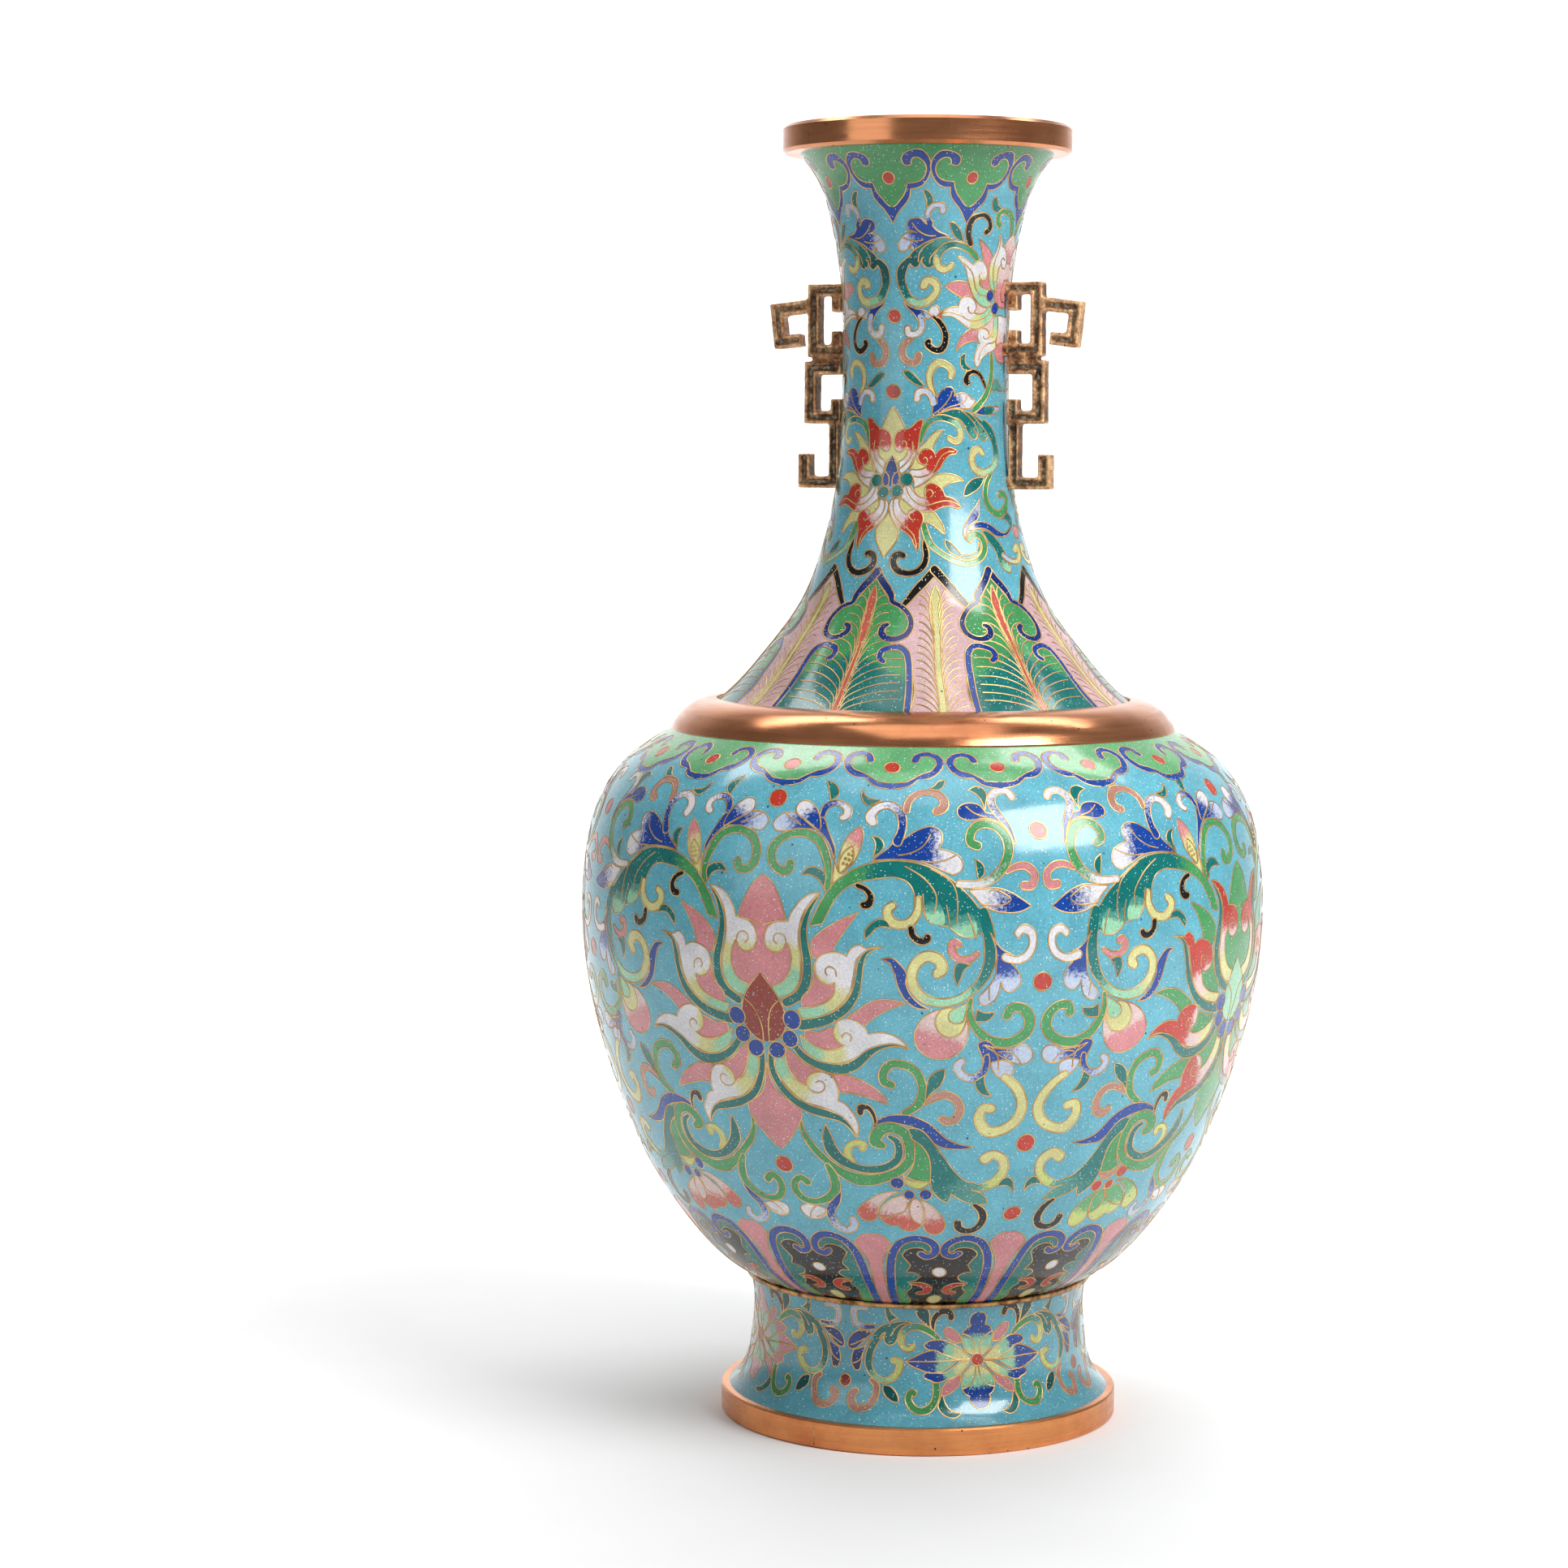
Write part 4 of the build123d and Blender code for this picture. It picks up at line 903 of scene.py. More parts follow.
def main_lotus(p):
    """The right half of the neck's main lotus. Angles 0 to 45."""
    p.leaf("yellow", "0,48.2* 2,49 4.5,50 7,51.2 9,52.2* 12,52.4 11,56.5 8,57.8 4,58.3 2.5,57.8 0,56.8*")
    p.leaf("yellow", "12,59.6* 14.5,58.5 16.5,57.2 18.5,58.6 22.8,59.1 20,59.9 15,59.9")
    p.leaf("yellow", "7.5,65* 12,66 17,67 13.5,68 10,67.8 7.5,66.9 6.8,65.9")
    p.leaf("yellow", "0,66* .3,67.2 2,68.6 4.5,69.6 7.2,70.9* 6.5,72.3 4.5,73.7 2,74.9 0,75.9*")
    p.leaf("yellow", "33.8,52.6* 30,52.8 26,53.5 22,54.7 19.3,55.4* 18,56.5 22.5,56.4 27.3,56.2* 28.5,55 "
           "31,54 33,53.3")
    p.leaf("yellow", "48,61.7* 43.5,60.7 38,60.2 32.5,60.2 29,60.6* 24,61.8 15.5,63* 17,64 20,64.6 "
           "23,64.7* 24,63.2 28,62.8 33.5,62.9* 37,62 42,61.7")
    p.leaf("yellow", "34,71.4* 33,69.8 30.5,68.4 27.5,67.2 25.5,67* 20.5,67.2 20.8,68.3 21.5,69.1 24,69.2* "
           "27,69.6 30,70.4 33,71.3")
    p.leaf("red red blush white", "20.5,50.3* 16.5,50.6 13,51.6 10,52.2* 6,52.3 2.5,52.9 1,54 1.7,55.4 "
           "4.2,56.2 7.5,56 9.8,55.3* 10.6,56.3 9.5,57.1 7.5,57.6 4.8,58* 5.2,59 6.5,60.3 9,60* 12.5,59 "
           "15,57.8 17.2,56.6 18,55 18.8,52.8 20,51.4", "16,53 13.5,55.5 12,57 8,59")
    p.vein("13.8,54.5 14.2,55.7 13,57.3 9.5,58.4 5.8,59.3", "9.8,55.2 9.5,54.7 8,54.3 6.6,54.5")
    p.leaf("white blush red red", "44.3,56.1* 40,55.7 35,55.8 31.5,56.2 29,56.9* 26.5,56 23,55.8 19.5,56.4 "
           "17.8,57.5 18.7,58.5 21.5,58.9 23.2,58.7* 22.5,59.4 19,59.8 13.5,59.6* 12,60.2 14.8,61.2 "
           "15.2,62.9* 20,62.4 25,61.5 28.5,60.3 32,59.3 35,57.9 39,57 43,56.6",
           "16,61 23,60.5 28,58.8 30,57.5")
    p.vein("15,60.9 20,61.1 25,60.6 28.5,59.5 31,58 34,57 38,56.5 42,56.3",
           "23.2,58.7 24,58.1 23.2,57.6 22,57.5")
    p.leaf("white blush red red", "45,66.4* 42.5,65.3 38.5,64.5 34.8,64.3* 33,63 29.5,62.3 25.5,62.2 "
           "22.6,62.8 21.9,63.8 22.3,64.7* 19,64.5 15.5,63.7 12.5,62.4* 9,62.8 8,65* 12,66 16,66.8 21,67.1 "
           "27,67 32,66.5 38,66.2 43,66.6", "14,65 23,65.8 28,65.2 32,64.5")
    p.vein("10.5,62.9 12,64 15,65.2 19,65.8 24,65.9 30,65.5 36,65.2 41,65.5 44,66.1",
           "22.3,64.7 22.6,63.8 24.5,63.3 26.5,63.5 27,64.1 25.5,64.6")
    p.leaf("white blush red red", "18,74.3* 16.2,73.2 14.5,72 12,71.2 8.5,70.5 5.5,69.8 2.5,68.6 .6,67.2 "
           ".2,66 1.2,65.2* 6.5,65* 6.8,66.2 8.5,67.2 11,67.8 12.3,67.9* 13,67.3 15.5,66.9 18.5,67 "
           "20.8,67.7 21.2,68.8 20.5,69.6 19.2,70.8* 19.5,72 19.3,73.5 18.8,74.2", "5,67 10,69 14,70 17,71")
    p.vein("3,65.2 3,66.8 5,68.3 8.5,69.4 12,70.3 15,71.2 17,72.5 17.8,73.8",
           "12.3,67.9 13.5,68.6 15.5,68.9 16.8,68.6")
    p.leaf("navy blue", "0,56.8* 2,57.7 3.8,59 4.6,60 5.7,61 5.2,62.1 3.5,62.6 1.5,62.4 0,62.8*", "1,58 4,62")
    p.vein("4.5,59.9 2,60.6 1.2,61.3 1.2,62.4")
    p.dot("teal", 10.3, 61.4, 1.25)
    p.dot("teal", 4.7, 63.7, 1.15)


def side_lotus(p):
    """The near half of the lotus behind a handle. Angles 45 to 90."""
    p.leaf("blush pink", "90,16.5* 87,16.8 84,17.5 82,18.3 80.5,19* 80,21 81,22 90,22.5*", "85,17 85,22")
    p.leaf("blush pink", "75.5,22* 82,21.5 90,22* 90,30* 82,30 76.5,29 75.5,26", "83,23 83,28")
    p.leaf("pink blush", "34.5,26.4* 38,25.8 44,25.7 50.5,25.9* 56,26.4 66,27 71,28.5 66,31.2 58,31.8 "
           "54,30.5 47.5,28.7* 43,28.1 38,27.2", "50,28 66,30")
    p.leaf("pink", "56.5,17.8* 60,18.5 64.5,19.4 69.3,20.6* 68.5,24 69.5,26.8 64,26.8 61,25.5 62,22* "
           "60,20.5 58,19")
    p.leaf("pink blush", "43,38* 44.5,36.6 47.5,35.2 51.5,34.2 56,33.6 64,32.6 74.8,31.6* 75.2,33 74,34.3 "
           "71.5,35.3* 66,36.5 59.8,36.3* 56.5,36.1 52,36.3 48,36.9", "50,36 72,33")
    p.leaf("pink", "76.5,37.7* 80,36.8 84,36.4 90,36.5* 90,40* 86,39.9 80.5,39.5 78,38.7")
    p.leaf("white blush", "80.3,31.8* 85,31.6 90,31.8* 90,36.6* 84,36.5 79.5,36.8 79.5,35.8 81,34.2",
           "88,33 81,36")
    p.leaf("white white yellow pale", "72.6,16.9* 75,17.3 77,18 78.3,19* 81,19.1 84,19.8 86.2,21 86,22.3 "
           "84,22.9 81.5,22.7 79.8,22* 78.3,22.3 77.2,23.3 76.8,24.7 77,26 76,27* 73,27 70.3,26.3 68.6,25 "
           "68,23.3 68.6,21.8 71,20.6 73,19.4 73.6,18.3", "76,18 76,20 73,22.5 74,26.5")
    p.vein("74.2,17.3 75.3,18.5 75,19.7 73,21 72,22.5 72.3,24 73.5,25.6 75,26.8",
           "79.7,22 79.3,21.3 80.8,21 83,21.2 84,21.3")
    p.leaf("white white yellow pale pale", "41.8,21* 46,21.2 50,21.8 54.2,22.6* 57.5,22 61.5,22.1 65,22.9 "
           "66.5,24 65.5,24.9 62.8,25.3 60.2,24.9* 60,25.8 62.5,26.4 66.5,26.7 71,27* 72,28.5 71,29.6 "
           "68,29.9* 62,29.6 57.5,28.7 54,27.4 51.8,26.2 50.2,24.8 48.2,23.2 45,22",
           "47,22 54,24 55,26.5 62,28 70,28.5")
    p.vein("46.5,22.2 50,23 53.5,24 55.5,25.3 57,26.7 60,27.6 65,27.8 70,27.9",
           "59.9,25 59.8,24.3 60.8,24 61.8,24")
    p.leaf("white white yellow pale", "32.5,32* 35,31 39.5,30.3 44.6,30.1* 46,29 50,28.4 54.5,28.5 "
           "57.8,29.3 58.2,30.4 56.5,31.1* 61,31.2 65,30.7 69.5,29.7* 72,30 74,31 73.5,31.6* 70,32.6 "
           "65,33.4 59,34 54,33.8 49,33.2 44.5,32.4 40,31.9 36,32", "42,31 50,31.5 57,33 68,31.8")
    p.vein("34,31.6 39,31.2 43.5,31.4 47,31.6 51,32.2 56,32.5 62,32.2 67,31.5 71,30.5",
           "52.2,30.1 52.3,30.7 54,31.2 56.5,31.1")
    p.leaf("white white yellow pale", "59.5,41* 57.6,40.3 57.6,38.8 59.5,37.5 62,36.7* 60,35.6 60.5,34.5 "
           "64,33.9 68.5,34.1 70.9,35 70.3,35.8* 72.5,35 74.5,33.8 75.3,32.5 75.5,31.8* 79.8,31.7* 81,33.3 "
           "80.3,35 78.3,36.3 79,37* 76.5,37.8 71.5,38.5 66.5,38.9 63,39.6 61.8,40.4",
           "62,37 67,36.5 74,36 78,33")
    p.vein("61,39.7 62.2,38.4 65.5,37.4 70,36.8 75,36.5 78,36.1", "65.2,35.4 66.3,35.9 68.5,35.9 70.3,35.5")
    p.dot("blue", 70.5, 27.9, 1.05)
    p.dot("blue", 76.5, 30.3, 1.15)
    p.leaf("pink", "90,25* 86,25.2 83.5,26.2 83,27.6 84.5,28.8 90,29*")


def cone_leaves(p):
    """Half of a green leaf and half of a pink one round the cone. Angles 0 to 30."""
    p.leaf("blush rose rose", "30,78.6* 22,82* 15,85.2* 16,88* 13,92.6* 18,95* 19.5,97* 19.5,112* 30,112*",
           "30,95 19,95")
    p.leaf("yellow", "30,80.8* 29.1,81.6 29,95 28.9,112* 30,112*")
    p.leaf("teal teal green green", "0,79* 4,81.5 9.5,84.5 16,86 18.8,89 16,91.5 11,92.5 16,93.8 19.8,97.5 "
           "20.2,112* 0,112*", "2,104 17,92")
    p.leaf("rust", "0,80.8* .6,81.5 .7,95 .8,112* 0,112*")
    for k in range(14):
        root = 87 + 1.9 * k
        reach = 17.5 if root > 99 else 6.5 + 0.9 * k
        p.vein(f"1.2,{root} 2,{root - 2.4} {reach * 0.32},{root - 4.4} "
               f"{reach * 0.62},{root - 5.6} {reach},{root - 5.9}")
    for k in range(16):
        root = 86 + 1.7 * k
        p.vein(f"28.9,{root} 28,{root - 2} 26.6,{root - 3.3} 24.6,{root - 4.3} 22.6,{root - 4.6}")
    p.curl("black", "30,78.2,1.6 26,79.9,1.5 22,81.8,1.5 18.5,83.5,1.3 15.8,84.8,1.1")
    p.curl("navy", "0,78.2,1.6 3,79.9,1.5 6.5,81.5,1.5 9,83,1.3 9.9,84.4,1 13,85,1 16.5,86.1,1 "
           "18.8,87.8,1.05 18.8,89.8,1.1 16.8,91.5,1.2 13.3,92.2,1.2 9.8,91.9,1.3 7.6,90.9,1.3 "
           "7.9,89.7,1.2 9.4,89.3,.9")
    p.curl("blue", "10.8,97,1 9,96,1.2 9.3,94.8,1.2 12,94,1.2 15.5,93.8,1.2 18.5,94.9,1.2 19.8,97,1.2 "
           "20.2,100.5,1.2 20.3,106,1.2 20.3,112,1.2")


CONE_AXIS = -28
NECK_LOTUS_AXIS = -25.5
RUYI_AXIS = -24


def draw_neck():
    sheet = Sheet(Wall(NECK))
    for leaf in range(6):
        for side in (1, -1):
            cone_leaves(Pen(sheet, CONE_AXIS + 60 * leaf, side, 30))
    for axis in (NECK_LOTUS_AXIS, NECK_LOTUS_AXIS + 180):
        for side in (1, -1):
            pen = Pen(sheet, axis, side, 90)
            neck_ground(pen)
            side_lotus(pen)
            main_lotus(pen)
    for head in range(8):
        for side in (1, -1):
            ruyi(Pen(sheet, RUYI_AXIS + 45 * head, side, 22.5))
    return sheet.finished()


# ---- foot pattern ----
def foot_spray(p):
    """Half a flower and the scrolls beside it. Angles 0 to 45."""
    p.curl("black", "15.3,4.1,.5 15.5,2.6,.9 14.2,1.1,1.1 12,.4,1.1 10,.7,1.2 9.6,1.7,1.2")
    p.leaf("dteal", "16.6,1.6* 17,.4 18.5,-.3 20.5,0 21,.8 20,2 18,3 16.2,3.8* 16.6,2.6")
    p.leaf("teal", "26.6,2* 29,1 30.2,-.5 31,.8 30.6,2 30,3* 28.5,2.3")
    p.leaf("teal", "21,3.1* 25,2.5 29,2.9 33,3.8 36,5.6* 33.5,6 32,5 31.3,4.8* 32,5.8 31.7,6.7 30,7.1 "
           "28.3,6.6 27.3,5.6 26.6,4.9* 25,4 23,3.3", None, "scroll")
    p.curl("teal teal teal pale lime lime", "32.5,5,1 35.4,6.9,1.3 36.8,8.9,1.3 36.8,10.8,1.3 35,12.5,1.1 "
           "31.8,13.4,1 28.7,13,1.2 26.7,11.6,1.3 26.6,10.2,1.2 28.4,9.8,1.2", "scroll")
    p.vein("29.7,5.4 28.5,4.3 26.5,3.2 24,2.8", "31.3,4.8 32.3,5.1 33.6,6.2")
    p.curl("green green sea lime lime", "13.6,5.8,.7 15.8,4.7,1.1 18.5,3.8,1.2 21.5,3.4,1.2 24.3,3.9,1.2 "
           "26,5.1,1.2 26,6.5,1.1 24.8,7.5,1 23,7.5,1.1 22.2,7,1")
    p.curl("blue lavender lavender", "35.5,4.1,.8 39,4.2,1 41.5,3.7,1.1 42.3,2.2,1 41.7,.9,1 40,.3,1.2 "
           "38,.4,1.1")
    p.leaf("navy blue", "36,5.2* 38.5,4.9 41,5 43,5.7 44.3,6.9 44.2,7.9 43.2,8.3* 41.5,8 39.5,7 37.5,5.9",
           "37,5.5 44,7.5")
    p.vein("38.5,6.2 41,7 43.5,7.6")
    p.leaf("blue navy", "37,6* 38,7.2 40.5,8 42,8.3 42.8,9.5 42.6,11.2 41.5,12 40,11.8 39.6,11 39,9 "
           "38.3,7.5", "38,7 41,11.5")
    p.vein("39,8.6 40,10 42.3,10.8")
    p.dot("maroon", 45, 14, 1.1)
    p.curl("brick", "35.5,13.6,.9 34,14.4,1.2 33.8,16,1.2 35,17.8,1.2 37.5,18.9,1.3 40.3,18.7,1.3 "
           "42,17.5,1.4 42,16.2,1.4 41,15.8,1.2")
    p.leaf("dteal", "31.5,14.3* 29.5,14.4 27.5,15.3 26.3,16.5 26.2,17.4* 27.8,17.4 29.5,16.9 31.2,15.9")
    p.curl("green", "14.3,14,1.2 14.2,16,1.2 15.3,17.7,1.2 17.5,18.7,1.3 20,18.8,1.3 22.3,17.8,1.3 "
           "23,16.5,1.2 22,15.6,1.2 21.3,15.8,1.1")
    p.leaf("teal", "6.8,19.3* 9,19.1 10.8,18.3 11.8,17 12.4,15.8* 13.2,17 13.8,18 12.8,19.2 11,20 9,20.2")


def foot_flower(p):
    """Half of a flower on the foot."""
    p.leaf("pink", "5.8,6.8* 6.2,5.5 8,4.4 10,3.7 11.7,3.7 11.9,4.5 11,5.6 9.2,6.4 7.5,6.9*")
    p.leaf("pink", "5.7,12.4* 8,12.9 10.5,13.6 12.3,15 12.3,16.3 10.5,16 8.5,15.2 6.5,14.1")
    p.leaf("tip tip pale petal", "0,1.2* 1.8,1.3 3,2.2 2.7,3.7* 4.3,4 5.6,5.2* 5.4,7 4,8.3 1.5,9 0,9*",
           "1,2 1,9")
    p.leaf("petal pale tip tip", "0,11* 2.5,11.4 4.8,12.5 5.6,13.5 5.7,14.8* 4.8,15.8 3.3,16.2* 3.7,16.6 "
           "3,17.6 1.5,18.4 0,18.5*", "1,11.5 1,18")
    p.vein("1,8.8 .8,7.3 2.3,5.9 5.4,5.1", ".5,11.3 1,13 2.5,14.2 5.6,14.9")
    p.leaf("petal petal pale tip tip", "2,9.8* 5.5,8 9,6.9 12,6.2 15,6 17,6.2 18.3,6.8 17.5,7.5 15.8,7.8 "
           "14.8,7.9* 12,8.9 8.5,9.7 5,9.9", "3,9.5 17,7")
    p.leaf("petal petal pale tip tip", "2,10.2* 5,10.2 8,11 11,12 14.9,12* 17,12 18.5,12.7 18,13.2 16,13.6 "
           "15,13.9 12.5,13.7 10.5,13.2 8,12.8 6,12.4 4,11.5", "3,10.5 17,13")
    p.leaf("pale pale tip tip tip", "7,9.85* 9,9.4 12,8.7 14.8,7.9 17.5,8 20,8.5 22.5,9.3 24.8,10* "
           "22.5,10.9 20,11.5 17.5,12 15,12.1 11,11.4 8,10.4", "8,10 24,10")
    p.vein("2.5,10 8,10 16,9.9 24.6,10")
    p.dot("red", 0, 10, 1.15)


FOOT_FLOWER_AXIS = 17
FLOWER_A = dict(petal="yellow", tip="blue")
FLOWER_B = dict(petal="blush", tip="pink")


def draw_foot():
    sheet = Sheet(Wall(FOOT))
    for k in range(4):
        for side in (1, -1):
            pen = Pen(sheet, FOOT_FLOWER_AXIS + 90 * k, side, 45, (FLOWER_A, FLOWER_B)[k % 2])
            foot_spray(pen)
            foot_flower(pen)
    return sheet.finished()


# ---- materials. Noise and speck scales are in cells to a metre, and bump distances in metres. ----
def material(name, **values):
    mat = bpy.data.materials.new(name)
    mat.use_nodes = True
    shader = mat.node_tree.nodes["Principled BSDF"]
    for key, value in values.items():
        shader.inputs[key].default_value = value
    return mat, mat.node_tree, shader


def plug(tree, shader, colour, rough=None):
    """Links a colour, and a roughness if there is one, to the shader's own sockets."""
    tree.links.new(colour, shader.inputs["Base Color"])
    if rough is not None:
        tree.links.new(rough, shader.inputs["Roughness"])


def node(tree, kind, **values):
    made = tree.nodes.new("ShaderNode" + kind)
    for key, value in values.items():
        if key in made.inputs:
            made.inputs[key].default_value = value
        else:
            setattr(made, key, value)
    return made


def place_of(tree):
    return node(tree, "TexCoord").outputs["Object"]


def grain(tree, scale, detail=2.0, rough=0.6):
    made = node(tree, "TexNoise", Scale=scale, Detail=detail, Roughness=rough)
    tree.links.new(place_of(tree), made.inputs["Vector"])
    return made.outputs["Fac"]


def ramp(tree, source, *stops):
    """A ramp from (position, grey or colour) stops."""
    made = node(tree, "ValToRGB")
    elements = made.color_ramp.elements
    while len(elements) < len(stops):
        elements.new(0.5)
    for element, (position, value) in zip(elements, stops):
        element.position = position
        rgb = (value,) * 3 if np.isscalar(value) else tuple(value)
        element.color = (*rgb, 1)
    tree.links.new(source, made.inputs["Fac"])
    return made.outputs["Color"]


def blend(tree, factor, a, b, kind="MIX"):
    made = node(tree, "Mix", data_type="RGBA", blend_type=kind)
    for socket, value in ((made.inputs["Factor"], factor), (made.inputs["A"], a), (made.inputs["B"], b)):
        target = socket
        if socket.name in ("A", "B"):
            target = [x for x in made.inputs if x.name == socket.name and x.type == "RGBA"][0]
        if isinstance(value, bpy.types.NodeSocket):
            tree.links.new(value, target)
        elif np.isscalar(value):
            target.default_value = value
        else:
            target.default_value = (*value, 1)
    return [x for x in made.outputs if x.type == "RGBA"][0]


def specks(tree, scale, size, share):
    """Round spots: 1 inside, 0 outside. Only a share of the cells has one."""
    cells = node(tree, "TexVoronoi", Scale=scale, Randomness=1.0)
    tree.links.new(place_of(tree), cells.inputs["Vector"])
    spot = ramp(tree, cells.outputs["Distance"], (size * 0.6, 1.0), (size, 0.0))
    chosen = node(tree, "SeparateColor")
    tree.links.new(cells.outputs["Color"], chosen.inputs["Color"])
    pick = node(tree, "Math", operation="LESS_THAN")
    tree.links.new(chosen.outputs["Red"], pick.inputs[0])
    pick.inputs[1].default_value = share
    both = node(tree, "Math", operation="MULTIPLY")
    tree.links.new(spot, both.inputs[0])
    tree.links.new(pick.outputs[0], both.inputs[1])
    return both.outputs[0]


def jittered(tree, value, noise_value, amount):
    """A value moved up or down by noise, by up to half the amount."""
    jitter = node(tree, "Math", operation="MULTIPLY_ADD")
    tree.links.new(noise_value, jitter.inputs[0])
    jitter.inputs[1].default_value = amount
    jitter.inputs[2].default_value = -amount / 2
    total = node(tree, "Math", operation="ADD")
    tree.links.new(value, total.inputs[0])
    tree.links.new(jitter.outputs[0], total.inputs[1])
    return total.outputs[0]


def mottle(tree, colour, scale, detail, low, high, rough=0.6):
    """The colour multiplied by noise that runs between two (position, factor) stops."""
    return blend(tree, 1.0, colour, ramp(tree, grain(tree, scale, detail, rough), low, high), "MULTIPLY")


def bump(tree, shader, height, distance, strength=1.0):
    made = node(tree, "Bump", Distance=distance, Strength=strength)
    tree.links.new(height, made.inputs["Height"])
    tree.links.new(made.outputs["Normal"], shader.inputs["Normal"])


ENAMEL_SPECKS = (  # cells to a metre, spot size in a cell, share of cells, colour
    (2200, 0.19, 0.50, (0.76, 0.86, 0.86)),
    (1400, 0.16, 0.28, (0.84, 0.91, 0.90)),
    (760, 0.10, 0.08, (0.88, 0.92, 0.90)),
    (980, 0.15, 0.09, (0.02, 0.05, 0.06)),
    (520, 0.14, 0.08, (0.02, 0.04, 0.05)),
)


def enamel_material(name, painted_shade_level):
    """Glass enamel in the cells' colours, with grains in it. A lower last argument darkens the whole colour
    evenly: painted shade for the shadow that falls on the neck and the foot.
    """
    mat, tree, shader = material(name, **{"IOR": 1.5, "Coat Weight": 0.3, "Coat Roughness": 0.06})
    first = node(tree, "Attribute", attribute_name="enamel_a").outputs["Color"]
    second = node(tree, "Attribute", attribute_name="enamel_b").outputs["Color"]
    mix = node(tree, "Attribute", attribute_name="enamel_mix").outputs["Fac"]
    dither = node(tree, "MapRange")
    tree.links.new(jittered(tree, mix, grain(tree, 1900, 3.0, 0.7), 1.3), dither.inputs["Value"])
    dither.inputs["From Min"].default_value = 0.3
    dither.inputs["From Max"].default_value = 0.7
    body = blend(tree, dither.outputs["Result"], first, second)
    # Broad random mottling, all scaled by the last argument: painted shade, a little darker on the neck and
    # darker still on the foot
    body = mottle(tree, body, 160, 4.0, (0.3, 0.84 * painted_shade_level), (0.7, 1.12 * painted_shade_level))
    body = mottle(tree, body, 2600, 2.0, (0.3, 0.84), (0.7, 1.14))
    for scale, size, share, colour in ENAMEL_SPECKS:
        body = blend(tree, specks(tree, scale, size, share), body, colour)
    plug(tree, shader, body, ramp(tree, grain(tree, 420, 3.0), (0.3, 0.12), (0.7, 0.24)))
    bump(tree, shader, grain(tree, 520, 3.0), 0.00006, 0.5)
    return mat


def wire_material():
    mat, tree, shader = material("cell_wire", **{"Metallic": 0.85, "IOR": 1.5})
    tone = node(tree, "Attribute", attribute_name="wire_tone").outputs["Fac"]
    worn = ramp(tree, grain(tree, 240, 4.0), (0.35, linear((188, 142, 86))), (0.65, linear((238, 202, 140))))
    gold = blend(tree, ramp(tree, tone, (0.3, 0.0), (0.95, 1.0)), linear((72, 48, 28)), worn)
    plug(tree, shader, gold, ramp(tree, grain(tree, 900, 3.0), (0.3, 0.34), (0.7, 0.55)))
    bump(tree, shader, grain(tree, 1400, 3.0), 0.00004, 0.4)
    return mat


def wire_ring_material():
    """The wires' gold, browner in its hollows, for the thin ring and the seam at the foot."""
    mat, tree, shader = material("ring_gold", **{"Metallic": 0.85, "Roughness": 0.35})
    dark, bright = linear((96, 60, 36)), linear((206, 156, 100))
    plug(tree, shader, ramp(tree, grain(tree, 420, 5.0, 0.7), (0.36, dark), (0.6, bright)))
    bump(tree, shader, grain(tree, 700, 4.0), 0.00006, 0.5)
    return mat


def streaks(tree, across, along):
    """Noise drawn out round the vase: the polisher's turning marks."""
    place = node(tree, "SeparateXYZ")
    tree.links.new(place_of(tree), place.inputs[0])
    flat = node(tree, "CombineXYZ")
    tree.links.new(place.outputs["X"], flat.inputs["X"])
    tree.links.new(place.outputs["Y"], flat.inputs["Y"])
    high = node(tree, "Math", operation="MULTIPLY")
    tree.links.new(place.outputs["Z"], high.inputs[0])
    high.inputs[1].default_value = across / along
    tree.links.new(high.outputs[0], flat.inputs["Z"])
    made = node(tree, "TexNoise", Scale=along, Detail=4.0, Roughness=0.65)
    tree.links.new(flat.outputs[0], made.inputs["Vector"])
    return made.outputs["Fac"]


def copper_material(name, bright, brown, patina, rough=0.24, patches=0.6):
    """Polished copper, with turning streaks, browner patches and a few small pits."""
    mat, tree, shader = material(name, **{"Metallic": 0.9, "IOR": 1.5})
    base = ramp(tree, grain(tree, 60, 5.0, 0.6), (0.30, linear(brown)), (0.55, linear(bright)))
    base = blend(tree, 1.0, base, ramp(tree, streaks(tree, 1500, 45), (0.32, 0.88), (0.66, 1.06)), "MULTIPLY")
    where = ramp(tree, grain(tree, 110, 7.0, 0.72), (0.62, 0.0), (0.72, patches))
    base = blend(tree, where, base, linear(patina))
    base = blend(tree, specks(tree, 700, 0.16, 0.10), base, linear((60, 36, 26)))
    plug(tree, shader, base, ramp(tree, streaks(tree, 900, 60), (0.3, rough - 0.04), (0.7, rough + 0.08)))
    bump(tree, shader, streaks(tree, 1100, 70), 0.00004, 0.4)
    return mat


